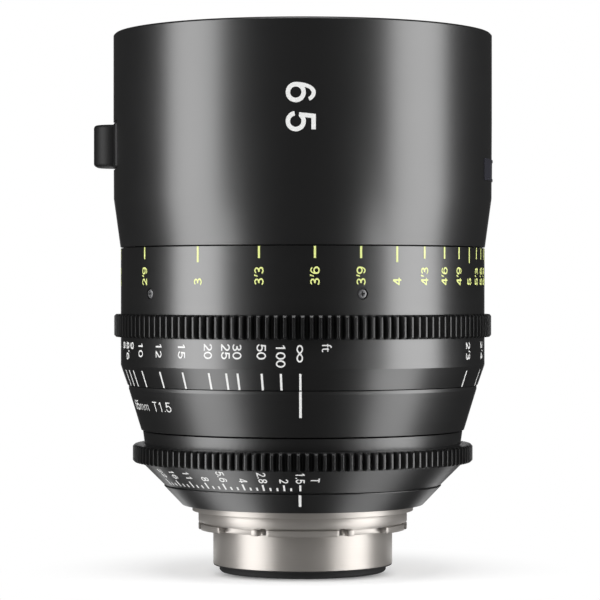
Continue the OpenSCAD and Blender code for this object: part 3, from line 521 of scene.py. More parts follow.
trimShape["profile"] = trimLine(trimShape)
seatPiece(turnRing("frontTrim", trimShape), "lens_barrel", innerBlack, "blackened_metal",
          "front_trim_ring")


# lenses: rim radius, clear radius, rim height and thickness, front and rear curves, body, finish

lensSteps = 160
lensShapes = {
    "front_element": ("frontLens", 44.4, 42.6, 125.2, 5, 110, 0, "lens_barrel", frontGlass),
    "second_element": ("secondLens", 40.0, 37.4, 100.6, 4, 62, -90, "lens_barrel", innerGlass),
    "focus_element_front": ("focusLensFront", 35.0, 33.0, 62, 4, 66, 0, "focus_group", innerGlass),
    "focus_element_rear": ("focusLensRear", 33.0, 31.0, 55, 5, 0, -180, "focus_group", frontGlass),
    "rear_element_front": ("rearLensFront", 22.05, 20.25, 3, 4, 40, 0, "lens_barrel", innerGlass),
    "rear_element_last": ("rearLens", 20.55, 18.75, -3, 4, 0, 60, "lens_barrel", rearGlass),
}


def lensCurve(clear, curve, steps=24):
    # radius and bulge from the middle out, hollow where the curve is negative
    if not curve:
        return [(0, 0), (clear, 0)]
    side = math.copysign(1, curve)
    drop = math.sqrt(curve * curve - clear * clear)
    return [(clear * n / steps, side * (math.sqrt(curve * curve - (clear * n / steps) ** 2) - drop))
            for n in range(steps + 1)]


for node, (name, rim, clear, low, thick, front, rear, body, finish) in lensShapes.items():
    top = [(r, low + thick + bulge) for r, bulge in lensCurve(clear, front)]
    bottom = [(r, low - bulge) for r, bulge in reversed(lensCurve(clear, rear))]
    outline = top + [(rim, low + thick), (rim, low)] + bottom
    lens = turnPiece(name, outline, steps=lensSteps, closed=False)
    seatPiece(lens, body, finish, "coated_glass", node, smooth=20)
print("lenses and trim made")


# focus ring, its scale ring and screws

focusRing = {"profile": [(50.8, 43.4), (52.73, 43.4), (54.8, 49.4), (54.8, 57.8), (53.1, 57.8),
                         (53.1, 84.3), (50.8, 84.3)], "edge": 0.08}
seatPiece(turnRing("focusRing", focusRing), "focus_drive", ringBlack, "black_anodised", "focus_ring")

scaleRing = {"profile": [(53.15, 64.6), (54.8, 64.6), (54.8, 84.3), (53.15, 84.3)], "edge": 0.1,
             "bore": {"sides": 40, "radius": 1.62, "depth": 3}, "boreAt": (55.05, 0, 70.7),
             "screwAt": (54.7, 0, 70.7), "screwAzimuths": [18, 90, 162, 234, 306]}
ring = turnRing("scaleRing", scaleRing)
cutBores(ring, scaleRing["bore"], scaleRing["boreAt"], outward, scaleRing["screwAzimuths"])
seatPiece(ring, "focus_drive", ringBlack, "black_anodised", "focus_scale_ring")

panHead = {"sides": 40, "edge": 0.45, "edgeSteps": 6, "slotTurns": (8, 98), "slotTaper": 0.45}
grubHead = {"sides": 32, "edge": 0.16, "edgeSteps": 2}
scaleScrew = {"radius": 1.5, "depth": 1.15, "long": 2.1, "wide": 0.52, "deep": 0.8}


def screwHead(name, head, shape):
    # a round head with its top at height 0
    screw = addRod(name, head["sides"], shape["radius"], shape["depth"], (0, 0, -shape["depth"] / 2))
    openMesh(screw)
    bevelEdges(screw, lambda e: all(v.co.z > -hair for v in e.verts), head["edge"] * shape["radius"],
               head["edgeSteps"])
    leaveEdit()
    return screw


def crossScrew(name, shape):
    screw = screwHead(name, panHead, shape)
    for turn in panHead["slotTurns"]:
        size = (shape["long"], shape["wide"], shape["deep"] * 2)
        blade = placePiece(added(bpy.ops.mesh.primitive_cube_add, size=1, scale=size), turn=(0, 0, turn))
        openMesh(blade)
        chooseParts(blade, "FACE", lambda f: f.normal.z < -0.5)
        bpy.ops.transform.resize(value=(panHead["slotTaper"], panHead["slotTaper"], 1))
        leaveEdit()
        cutAway(screw, blade)
    return screw


def socketScrew(name, shape):
    screw = screwHead(name, grubHead, shape)
    cutAway(screw, addRod("hexagon", 6, shape["hexRadius"], 2 * shape["hexDepth"]))
    return screw


screws = ringOf("scaleScrews", crossScrew("scaleScrew", scaleScrew), scaleRing["screwAt"], outward,
                scaleRing["screwAzimuths"])
seatPiece(screws, "focus_drive", screwBlack, "black_screw", "scale_ring_screws", smooth=30)
print("focus ring made")


# follow gears

focusGear = {"name": "focusGear", "bore": 53.15, "root": 55.0, "tip": 56.8, "teeth": 140,
             "low": 57.8, "wide": 6.8}
irisGear = {"name": "irisGear", "bore": 48.2, "root": 49.4, "tip": 51.2, "teeth": 126,
            "low": 20.3, "wide": 5.2}
toothShape = {"tipShare": 0.134, "rootShare": 0.395, "sideShare": 0.495, "endCut": 0.55, "tipRound": 0.1,
              "tipSlack": 0.05}


def cutGear(gear):
    # one tooth and its share of the rim, repeated round the axis
    step = fullTurn / gear["teeth"]
    tip, root, side = toothShape["tipShare"] * step, toothShape["rootShare"] * step, step / 2
    outline = [(gear["bore"], -side), (gear["root"], -side), (gear["root"], -root), (gear["tip"], -tip),
               (gear["tip"], tip), (gear["root"], root), (gear["root"], side), (gear["bore"], side)]
    piece = drawOutline(gear["name"], [(r * math.cos(a), r * math.sin(a), gear["low"])
                                       for r, a in outline])
    pullUp(gear["wide"])
    openSides(piece, toothShape["sideShare"] * step)
    nearTip = gear["tip"] - toothShape["tipSlack"]

    def onTip(edge):
        return all(v.co.xy.length > nearTip for v in edge.verts)

    bevelEdges(piece, lambda e: onTip(e) and rise(e) < hair, toothShape["endCut"], 1)
    bevelEdges(piece, lambda e: onTip(e) and rise(e) > hair, toothShape["tipRound"], 2)
    takeAll()
    others = gear["teeth"] - 1
    bpy.ops.mesh.spin(steps=others, angle=step * others, dupli=True, center=(0, 0, 0), axis=(0, 0, 1))
    weldAll()
    leaveEdit()
    return piece


seatPiece(cutGear(focusGear), "focus_drive", gearBlack, "black_anodised", "focus_gear", smooth=30)
seatPiece(cutGear(irisGear), "iris_control", gearBlack, "black_anodised", "iris_gear", smooth=30)
print("gears cut")


# index body, iris ring, index ring and the barrel's lip below it

indexBody = {"profile": [(38.55, 29.9), (48.65, 29.9), (52.4, 42.2), (52.4, 43.16), (52.28, 43.28),
                         (50.5, 43.28), (50.5, 41.1), (48.0, 41.1), (48.0, 43.1), (38.55, 43.1)],
             "edge": 0.08, "edgeAngle": 14}  # grooved for the focus stop
seatPiece(turnRing("indexBody", indexBody), "lens_barrel", lowerBlack, "black_anodised", "index_body")

irisRing = {"profile": [(38.6, 13.5), (41.75, 13.5), (48.6, 20.3), (48.15, 20.3), (48.15, 25.4),
                        (47.6, 25.6), (48.15, 29.45), (47.95, 29.6), (38.6, 29.6)],
            "edge": 0.08, "edgeAngle": 20}
seatPiece(turnRing("irisRing", irisRing), "iris_control", lowerBlack, "black_anodised", "iris_ring")

indexRing = {"profile": [(34.05, 7.4), (36.36, 7.4), (41.78, 13.08), (41.62, 13.38), (34.05, 13.38)],
             "edge": 0.08, "edgeAngle": 20, "bore": {"sides": 32, "radius": 1.06, "depth": 12},
             "boreAt": (39, 0, 10.59), "screwAt": (37.2, 0, 10.59), "screwAzimuths": [110, 180, 250]}
ring = turnRing("indexRing", indexRing)
cutBores(ring, indexRing["bore"], indexRing["boreAt"], outward, indexRing["screwAzimuths"])
seatPiece(ring, "lens_barrel", lowerBlack, "black_anodised", "index_ring")

indexScrew = {"radius": 1.0, "depth": 4.2, "hexRadius": 0.55, "hexDepth": 1.2}
screws = ringOf("indexScrews", socketScrew("indexScrew", indexScrew), indexRing["screwAt"], outward,
                indexRing["screwAzimuths"])
seatPiece(screws, "lens_barrel", screwBlack, "steel", "index_ring_screws", smooth=30)

lipShape = {"profile": [(30.8, 5.56), (33.3, 5.56), (33.3, 7.38), (30.8, 7.38)], "edge": 0.06}
seatPiece(turnRing("barrelLip", lipShape), "lens_barrel", turnedSteel, "stainless")
print("lower rings made")


# mount: barrel, four tabs, screws and the black ring behind

mountTube = {"profile": [(25, -10.4), (26.9, -10.4), (27, -10.3), (27, 0), (26.3, 0), (26.3, 5.5),
                         (25, 5.5)], "edge": 0.04}
seatPiece(turnRing("mountTube", mountTube), "lens_barrel", turnedSteel, "stainless", "mount_barrel")

mountFlange = {
    "profile": [(26.35, 0.02), (27.4, 0.02), (27.4, 1.8), (30.5, 1.8), (30.5, 2.3), (31.45, 2.3),
                (31.45, 5.5), (26.35, 5.5)], "edge": 0.12,
    "outside": 31.45, "inside": 26.9, "thick": 1.8, "flat": 27.9, "gapHalf": 6.3,
    "tabs": [{"notch": 22.4, "end": 40.3, "middles": (0, 180)},
             {"notch": 12.0, "end": 49.7, "middles": (90, 270)}],
    "tabEdge": 0.14, "tabAngle": 40, "endStep": 2.5, "middleStep": 0.7, "innerSteps": 36,
    "sideSlack": 0.1, "notchAt": 29.3, "notchRadius": 1.6, "notchHalf": 1.5, "notchSteps": 14,
    "bore": {"sides": 32, "radius": 1.43, "depth": 2.4}, "screwAt": (29.3, 0, 2.4),
}


def arcPoints(radius, start, stop, steps):
    turns = [math.radians(start + (stop - start) * n / steps) for n in range(steps + 1)]
    return [(radius * math.cos(turn), radius * math.sin(turn)) for turn in turns]


def spun(points, turn):
    spin = Matrix.Rotation(math.radians(turn), 2)
    return [tuple(spin @ Vector(point)) for point in points]


def notchPoints(turn):
    # a round-bottomed slot that opens outwards
    half, radius = mountFlange["notchHalf"], mountFlange["notchRadius"]
    mouth = math.sqrt(mountFlange["outside"] ** 2 - half ** 2)
    lean = math.degrees(math.asin(half / radius))
    bottom = [(mountFlange["notchAt"] + x, y)
              for x, y in arcPoints(radius, -lean, lean - 360, mountFlange["notchSteps"])]
    return spun([(mouth, -half)] + bottom + [(mouth, half)], turn)


def gapSide(turn):
    # half of the flat floor between two tabs, from the tab to the middle of the gap
    side = math.copysign(1, turn)
    middle, corner = (mountFlange["flat"], 0), (mountFlange["flat"], -side * mountFlange["gapHalf"])
    points = spun((corner, middle), turn)
    return points if side > 0 else points[::-1]


flange = turnRing("mountFlange", mountFlange)
screwTurns = [middle + side * tab["notch"] for tab in mountFlange["tabs"] for middle in tab["middles"]
              for side in (-1, 1)]
cutBores(flange, mountFlange["bore"], mountFlange["screwAt"], (0, 0, 0), screwTurns)


def drawTab(tab):
    # one tab with half of the gap on either side of it, open where it meets the next
    reach, notch, end = mountFlange["outside"], tab["notch"], tab["end"]
    mouth = math.degrees(math.asin(mountFlange["notchHalf"] / reach))
    half = end - math.degrees(math.asin(mountFlange["gapHalf"] / reach))
    endSteps = math.ceil((half - notch - mouth) / mountFlange["endStep"])
    middleSteps = math.ceil((notch - mouth) / mountFlange["middleStep"])
    line = (arcPoints(reach, -half, -notch - mouth, endSteps)[:-1] + notchPoints(-notch)
            + arcPoints(reach, mouth - notch, notch - mouth, middleSteps)[1:-1]
            + notchPoints(notch) + arcPoints(reach, notch + mouth, half, endSteps)[1:] + gapSide(end)
            + arcPoints(mountFlange["inside"], end, -end, mountFlange["innerSteps"]) + gapSide(-end))
    piece = drawOutline("mountTab", [(x, y, 0) for x, y in line])
    pullUp(mountFlange["thick"])
    weldAll()
    openSides(piece, math.radians(end - mountFlange["sideSlack"]))
    leaveEdit()
    return ringOfCopies(piece, tab["middles"])


tabs = joinPieces("mountTabs", [piece for tab in mountFlange["tabs"] for piece in drawTab(tab)])
weldPiece(tabs)
roundEdges(tabs, mountFlange["tabEdge"], angle=mountFlange["tabAngle"])
weldOn(flange, tabs)
seatPiece(flange, "lens_barrel", turnedSteel, "stainless", "mount_flange", smooth=30)

mountScrew = {"radius": 1.35, "depth": 1.2, "long": 1.6, "wide": 0.36, "deep": 0.6}
screws = ringOf("mountScrews", crossScrew("mountScrew", mountScrew), mountFlange["screwAt"],
                (180, 0, 0), screwTurns)
seatPiece(screws, "lens_barrel", plainSteel, "steel", "mount_screws", smooth=30)

rearRing = {"profile": [(18.05, -12.8), (24.6, -12.8), (25.1, -12.3), (25.1, -11.0), (26.9, -10.72),
                        (26.9, -10.42), (24.95, -10.42), (24.95, -7), (20.55, -7), (20.55, -10.4),
                        (18.05, -10.4)], "edge": 0.08}
seatPiece(turnRing("rearRing", rearRing), "lens_barrel", innerBlack, "blackened_metal",
          "rear_baffle_ring")
print("mount made")


# engraved marks, laid out flat as seen from outside and then wrapped round their ring

capShare = 0.682  # height of a capital in a letter's size
typeAdvance = {"'": 0.2, ".": 0.219, "m": 0.771, "T": 0.604, "f": 0.25, "t": 0.333, "∞": 0.932,
               " ": 0.53}
figureAdvance = 0.5
curveSteps = 5  # of the built-in letters
ownType = {"stroke": 0.15, "wide": 0.69, "bowl": 0.335}  # in shares of a capital's height
flatShare, thinShare = 0.95, 0.9  # level strokes and small bowls are a little thinner
sideGap = 0.02  # before a figure, in shares of its size
typeCase = {}


def ovalPoints(middle, wide, tall, start, stop, steps):
    return [(middle[0] + wide * x, middle[1] + tall * y) for x, y in arcPoints(1, start, stop, steps)]


def wholeOval(middle, wide, tall):
    return ovalPoints(middle, wide, tall, 0, 345, 23)  # the last point is one step short of the first


def sixLines(stroke):
    half, bowl = ownType["wide"] / 2, ownType["bowl"]
    outside = (ovalPoints((half, bowl), half, bowl, -90, 120, 22)
               + ovalPoints((half + 0.02, 0.5), half + 0.02 - stroke, 0.5 - thinShare * stroke, 158, 42, 14)
               + ovalPoints((half, 0.66), half - 0.03, 0.34, 24, 90, 8)
               + ovalPoints((half, bowl), half, 1 - bowl, 90, 180, 14)[1:]
               + ovalPoints((half, bowl), half, bowl, 180, 270, 12)[1:-1])
    return [outside, wholeOval((half, bowl), half - stroke, bowl - flatShare * stroke)]


def fiveLines(stroke):
    half, bowl = ownType["wide"] / 2, ownType["bowl"]
    return [[(0.1, 1), (0.62, 1), (0.62, 1 - flatShare * stroke), (0.235, 1 - flatShare * stroke),
             (0.21, 0.64)]
            + ovalPoints((half, bowl), half, bowl, 112, -172, 34)
            + ovalPoints((half, bowl), half - stroke, bowl - flatShare * stroke, -172, 148, 30)
            + [(0.045, 0.45)]]


def oneLines(stroke):
    right = 0.36 + stroke / 2
    return [[(right, 0), (right, 1), (right - 0.7 * stroke, 1), (0.12, 0.83), (0.12, 0.83 - stroke),
             (right - stroke, 0.8), (right - stroke, 0)]]


def zeroLines(stroke):
    half = ownType["wide"] / 2
    return [wholeOval((half, 0.5), half, 0.5),
            wholeOval((half, 0.5), half - stroke, 0.5 - flatShare * stroke)]


def twoLines(stroke):
    middle, wide, tall = (0.33, 0.69), 0.32, 0.31
    return [ovalPoints(middle, wide, tall, 170, -30, 22)
            + [(0.25, flatShare * stroke), (0.65, flatShare * stroke), (0.65, 0), (0.02, 0),
               (0.02, 0.75 * stroke)]
            + ovalPoints(middle, wide - stroke, tall - thinShare * stroke, -30, 170, 20)]


def threeLines(stroke):
    upper, lower = ((0.32, 0.735), 0.29, 0.265), ((0.32, 0.275), 0.33, 0.275)
    thin = thinShare * stroke
    return [ovalPoints(*lower, -160, 57, 24) + ovalPoints(*upper, -60, 160, 24)
            + ovalPoints(upper[0], upper[1] - stroke, upper[2] - thin, 155, -90, 18)
            + [(0.2, 0.47 + thin), (0.2, 0.55 - thin)]
            + ovalPoints(lower[0], lower[1] - stroke, lower[2] - thin, 90, -155, 18)]


def fourLines(stroke):
    right, bar = 0.56, 0.2 + flatShare * stroke
    left, shift = right - stroke, 1.09 * stroke
    lean = (left - 0.05) / (1 - bar)
    return [[(left, 0), (right, 0), (right, 0.2), (0.69, 0.2), (0.69, bar), (right, bar), (right, 1),
             (left - 0.03, 1), (0.02, bar), (0.02, 0.2), (left, 0.2)],
            [(left, bar), (left, bar + (left - shift - 0.02) / lean), (0.02 + shift, bar)]]


def sevenLines(stroke):
    return [[(0.03, 1), (0.67, 1), (0.67, 1 - 0.75 * stroke), (0.31, 0), (0.31 - 1.1 * stroke, 0),
             (0.5, 1 - flatShare * stroke), (0.03, 1 - flatShare * stroke)]]


def eightLines(stroke):
    half, thin = ownType["wide"] / 2, thinShare * stroke
    upper, lower = ((half, 0.735), half - 0.04, 0.265), ((half, 0.27), half, 0.27)
    return [ovalPoints(*upper, -60, 240, 26) + ovalPoints(*lower, 119.5, 420.5, 28)] + [
        wholeOval(middle, wide - stroke, tall - thin) for middle, wide, tall in (upper, lower)]


def teeLines(stroke):
    left, right, bar = 0.34 - stroke / 2, 0.34 + stroke / 2, 1 - flatShare * stroke
    return [[(left, 0), (right, 0), (right, bar), (0.66, bar), (0.66, 1), (0.02, 1), (0.02, bar),
             (left, bar)]]


def primeLines(stroke):
    return [[(0.05, 0.62), (0.05 + 0.6 * stroke, 0.62), (0.27, 1.02), (0.27 - stroke, 1.02)]]


ownLines = {"0": zeroLines, "1": oneLines, "2": twoLines, "3": threeLines, "4": fourLines, "5": fiveLines,
            "6": sixLines, "7": sevenLines, "8": eightLines, "9": sixLines, "T": teeLines, "'": primeLines}


def cutType(letter, weight):
    if (letter, weight) in typeCase:
        return typeCase[letter, weight]
    if letter in ownLines:
        loops = [drawOutline("type", [(x * capShare, y * capShare, 0) for x, y in loop])
                 for loop in ownLines[letter](ownType["stroke"] + 2 * weight)]
        stamp = joinPieces("type", loops)
        openMesh(stamp)
        takeAll()
        bpy.ops.mesh.fill()
        if letter == "9":
            middle = Vector((ownType["wide"] / 2, 0.5, 0)) * capShare
            bpy.ops.transform.rotate(value=math.pi, orient_axis="Z", center_override=middle)
        takeAll()
        bpy.ops.transform.translate(value=(sideGap, 0, 0))
        weldAll()
        leaveEdit()
    else:
        stamp = added(bpy.ops.object.text_add)
        stamp.data.body = letter
        stamp.data.resolution_u = curveSteps
        stamp.data.offset = weight
        bpy.ops.object.convert(target="MESH")
        stamp = bpy.context.object
    typeCase[letter, weight] = stamp
    return stamp


def layText(text, spot, turn=0, cap=3.0, align="start", weight=-0.002, stretch=1.0):
    size = cap / capShare
    wide = sum(typeAdvance.get(letter, figureAdvance) for letter in text) * size * stretch
    along = {"start": 0, "middle": -wide / 2, "end": -wide}[align]
    spin = Matrix.Rotation(math.radians(turn), 2)
    laid = []
    for letter in text:
        if letter != " ":
            stamp = copyPiece(cutType(letter, weight), "stamp")
            stamp.scale = (size * stretch, size, 1)
            place = Vector(spot) + spin @ Vector((along, -cap / 2))
            laid.append(placePiece(stamp, (place.x, place.y, 0), (0, 0, turn)))
        along += typeAdvance.get(letter, figureAdvance) * size * stretch
    return laid


def spotOn(slope, azimuth, height):
    # a place in the flat layout; slope["line"] is the ring's straight line, low end first
    (lowR, lowZ), (highR, highZ) = slope["line"]
    slant = math.hypot(highR - lowR, highZ - lowZ)
    return math.radians(azimuth) * slope["radius"], (height - lowZ) / (highZ - lowZ) * slant


def layTick(slope, azimuth, low, top):
    across, start = spotOn(slope, azimuth, low)
    stop = spotOn(slope, azimuth, top)[1]
    tick = added(bpy.ops.mesh.primitive_plane_add, size=1)
    tick.scale = (slope["tickWide"], stop - start, 1)
    return placePiece(tick, (across, (start + stop) / 2, 0))


def wrapMarks(name, laid, slope, slice=1.0, thick=0.08, fine=0.012, cutGap=0.00001):
    # slices the marks so that they bend, rolls them round the ring and thickens them
    marks = joinPieces(name, laid)
    openMesh(marks)
    places = [v.co.x for v in bmesh.from_edit_mesh(marks.data).verts]
    for n in range(math.ceil(min(places) / slice), math.floor(max(places) / slice) + 1):
        takeAll()
        bpy.ops.mesh.bisect(plane_co=(n * slice, 0, 0), plane_no=(1, 0, 0), threshold=cutGap)
    takeAll()
    bpy.ops.mesh.remove_doubles(threshold=fine)
    leaveEdit()
    (lowR, lowZ), (highR, highZ) = slope["line"]
    slant = math.hypot(highR - lowR, highZ - lowZ)
    for vertex in marks.data.vertices:
        share, turn = vertex.co.y / slant, vertex.co.x / slope["radius"]
        r = lowR + (highR - lowR) * share
        vertex.co = (r * math.sin(turn), -r * math.cos(turn), lowZ + (highZ - lowZ) * share)
    applyModifier(marks, "SOLIDIFY", thickness=thick, offset=0)
    weldPiece(marks)
    return marks


def seatMarks(name, laid, slope, body, fill=whiteFill):
    seatPiece(wrapMarks(name, laid, slope), body, fill, "black_anodised")


focalMark = {"line": ((57, 100), (57, 140)), "radius": 57.0, "azimuth": -0.55, "cap": 8.46,
             "weight": 0.0025, "stretch": 0.98, "marks": {"6": 127.35, "5": 119.2}}
laid = []
for text, height in focalMark["marks"].items():
    laid += layText(text, spotOn(focalMark, focalMark["azimuth"], height), -90, focalMark["cap"],
                    "middle", focalMark["weight"], focalMark["stretch"])
seatMarks("focalLengthMark", laid, focalMark, "lens_barrel")

limeScale = {
    "line": ((54.8, 64.6), (54.8, 84.3)), "radius": 54.8, "cap": 2.68, "stretch": 1.15,
    "start": 73.05, "tickTop": 84.2, "tickLow": 80.8, "footLow": 79.7, "tickWide": 0.62,
    "marks": {"2'3": -118, "2'4": -105.5, "2'6": -84, "2'9": -56.9, "3": -33.0, "3'3": -13.0, "3'6": 3.6,
              "3'9": 17.5, "4": 29.3, "4'3": 39.5, "4'6": 48.2, "4'9": 55.9, "5": 62.7, "5'3": 68.9,
              "5'6": 74.4, "5'9": 79.3, "6": 84.0, "7": 97.0, "8": 107.0, "9": 115.0, "10": 121.5,
              "12": 131.5, "15": 141.3, "20": 151.0, "25": 156.8, "30": 160.6, "50": 168.0, "100": 173.7,
              "∞": 179.4},
}
laid = []
for text, azimuth in limeScale["marks"].items():
    low = limeScale["tickLow" if "'" in text else "footLow"]
    laid.append(layTick(limeScale, azimuth, low, limeScale["tickTop"]))
    laid += layText(text, spotOn(limeScale, azimuth, limeScale["start"]), 90, limeScale["cap"],
                    stretch=limeScale["stretch"])
seatMarks("limeFocusScale", laid, limeScale, "focus_drive", limeFill)

whiteScale = {
    "line": ((54.8, 49.4), (54.8, 57.8)), "radius": 54.8, "cap": 2.72, "stretch": 1.13, "start": 56.65,
    "marks": {"∞": -0.7, "2'3": 61.8, "2'4": 75.2, "2'6": 98.1, "2'9": 123.5, "3": 147.2, "3'3": 167.1,
              "3'6": 183.6, "3'9": 197.4, "4": 209.2, "4'6": 228.0, "5": 242.4, "5'6": 253.7, "6": 263.0,
              "7": 275.4, "8": 285.45, "8'6": 289.9, "9": 293.9, "10": 300.5, "12": 310.7, "15": 320.8,
              "20": 330.6, "25": 336.5, "30": 340.2, "50": 347.7, "100": 353.5},
    "unit": ("ft", 7.1), "endless": 1.17, "endlessStretch": 1.28,
}
focusCone = {"line": ((52.9, 43.9), (54.8, 49.4)), "radius": 53.6, "tickTop": 48.2, "tickLow": 43.5,
             "tickWide": 0.62}
laid, ticks = [], []
for text, azimuth in whiteScale["marks"].items():
    cap, stretch = whiteScale["cap"], whiteScale["stretch"]
    if text == "∞":
        cap, stretch = cap * whiteScale["endless"], whiteScale["endlessStretch"]
    laid += layText(text, spotOn(whiteScale, azimuth, whiteScale["start"]), -90, cap, stretch=stretch)
    ticks.append(layTick(focusCone, azimuth, focusCone["tickLow"], focusCone["tickTop"]))
text, azimuth = whiteScale["unit"]
laid += layText(text, spotOn(whiteScale, azimuth, whiteScale["start"]), -90, whiteScale["cap"])
seatMarks("whiteFocusScale", laid, whiteScale, "focus_drive")
seatMarks("whiteFocusTicks", ticks, focusCone, "focus_drive")

bodyMarks = {"line": ((48.8, 30.4), (52.4, 42.2)), "radius": 50.4, "azimuth": -0.7, "tickWide": 0.7,
             "tickLow": 35.6, "tickTop": 42.22, "text": "65mm T1.5", "textEnd": -48.2,
             "textMiddle": 37.8, "cap": 3.0, "weight": -0.02, "stretch": 1.16}
edgeLine = dict(bodyMarks, line=((52.4, 42.2), (52.4, 43.16)), tickLow=42.2, tickTop=43.14)
laid, onEdge = ([layTick(slope, slope["azimuth"], slope["tickLow"], slope["tickTop"])]
                for slope in (bodyMarks, edgeLine))
laid += layText(bodyMarks["text"], spotOn(bodyMarks, bodyMarks["textEnd"], bodyMarks["textMiddle"]), 0,
                bodyMarks["cap"], "end", bodyMarks["weight"], bodyMarks["stretch"])
marks = joinPieces("indexBodyMarks", [wrapMarks("indexBodyMarks", laid, bodyMarks),
                                      wrapMarks("edgeMark", onEdge, edgeLine)])
seatPiece(marks, "lens_barrel", whiteFill, "black_anodised")

stopScale = {
    "line": ((42.0, 13.75), (48.6, 20.3)), "radius": 43.5, "cap": 2.45, "stretch": 1.08,
    "textEnd": 16.6, "lean": 0.965, "tickLow": 14.3, "tickTop": 16.1, "thirdTop": 15.2,
    "tickWide": 0.55, "firstThird": -4.4,
    "marks": {"1.5": -0.9, "2": -7.0, "2.8": -15.0, "4": -22.9, "5.6": -31.2, "8": -39.6, "11": -48.0,
              "16": -56.8, "22": -65.6},
    "unit": ("T", 4.6),
}
laid = []
for text, azimuth in list(stopScale["marks"].items()) + [stopScale["unit"]]:
    laid += layText(text, spotOn(stopScale, azimuth * stopScale["lean"], stopScale["textEnd"]), -90,
                    stopScale["cap"], "end", stretch=stopScale["stretch"])
stops = list(stopScale["marks"].values())
ticks = [(azimuth, "tickTop") for azimuth in stops] + [(stopScale["firstThird"], "thirdTop")]
for here, there in zip(stops[1:], stops[2:]):
    ticks += [(here + (there - here) * third / 3, "thirdTop") for third in (1, 2)]
laid += [layTick(stopScale, azimuth, stopScale["tickLow"], stopScale[top]) for azimuth, top in ticks]
seatMarks("stopScale", laid, stopScale, "iris_control")

indexLines = {
    "stopIndexMark": {"line": ((36.6, 7.65), (41.7, 12.95)), "radius": 40.0, "azimuth": -1.1,
                      "tickWide": 0.76, "tickLow": 9.5, "tickTop": 13.05, "fill": whiteFill},
    "farSideIndexMark": {"line": ((55, 85.3), (56.9, 99.2)), "radius": 55.4, "azimuth": 179.3,
                         "tickWide": 0.8, "tickLow": 85.4, "tickTop": 91.0, "fill": limeFill},
}
for name, mark in indexLines.items():
    tick = layTick(mark, mark["azimuth"], mark["tickLow"], mark["tickTop"])
    seatMarks(name, [tick], mark, "lens_barrel", mark["fill"])
for stamp in typeCase.values():
    bpy.data.objects.remove(stamp)
print("marks engraved")


# CAD nodes that stay, with their finishes

keptFinishes = {
    innerBlack: ["front_cell", "front_cell_retainer", "front_spacer", "main_barrel", "focus_cell",
                 "focus_front_retainer", "focus_rear_retainer", "iris_base_ring", "iris_cap_ring",
                 "rear_cell", "rear_front_retainer", "rear_retainer", "front_slip_ring",
                 "rear_slip_ring", "iris_slip_ring"],
    plainSteel: ["front_cell_screws", "support_foot_screws", "barrel_lock_ring", "cam_sleeve_dowels",
                 "focus_stop_pin", "index_body_screws", "iris_drive_pin"],
    turnedBrass: ["cam_sleeve", "cam_follower", "guide_keys", "iris_cam_ring", "mount_shim"],
    bladeSteel: ["iris_blade_%d" % n for n in range(1, 10)],
}
for finish, nodes in keptFinishes.items():
    for node in nodes:
        dress(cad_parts[node], finish)


# camera, floor, light and background

view = {"place": (0, -0.79285, 0.0716), "lens": 157.5, "sensor": 36.0, "shiftX": -0.0045,
        "shiftY": -0.0155, "clip": (0.05, 100)}
camera = added(bpy.ops.object.camera_add, location=view["place"], rotation=(math.pi / 2, 0, 0))
camera.data.lens = view["lens"]
camera.data.sensor_width = view["sensor"]
camera.data.shift_x, camera.data.shift_y = view["shiftX"], view["shiftY"]
camera.data.clip_start, camera.data.clip_end = view["clip"]
bpy.context.scene.camera = camera

studio = {
    # squeeze, touch and clear give the oval and the radii of the painted contact shadow on the floor round
    # the base
    "floor": 12.0, "paper": 0.82, "lift": 0.43, "forward": 0.012, "squeeze": 0.8,
    "touch": 0.015, "clear": 0.0235, "nearEdge": 0.028, "farEdge": 0.09,
    "sweepEdge": 0.965, "sweepFull": 0.995, "nearSweep": 0.3, "nearFull": 0.6, "nearReach": 0.1,
    "fill": 0.2, "gloss": 0.035, "farBox": 0.9, "lensMiddle": 0.05,
}


def looking(wire):
    # the paper is seen by the camera and through glass, and in metal where it sweeps up behind
    path = wire.add("LightPath").socket.node
    names = ("Is Camera Ray", "Is Transmission Ray", "Is Glossy Ray", "Is Shadow Ray")
    camera, lens, mirror, shadow = (Wire(wire.tree, path.outputs[name]) for name in names)
    return camera + lens, mirror, shadow


def fade(wire, value, start, stop):
    return wire.add("MapRange", {"interpolation_type": "SMOOTHSTEP"},
                    {0: value, 1: start, 2: stop, 3: 0.0, 4: 1.0})


def vectorSum(wire, operation, *vectors, take="Vector"):
    return wire.add("VectorMath", {"operation": operation}, dict(enumerate(vectors)), take)


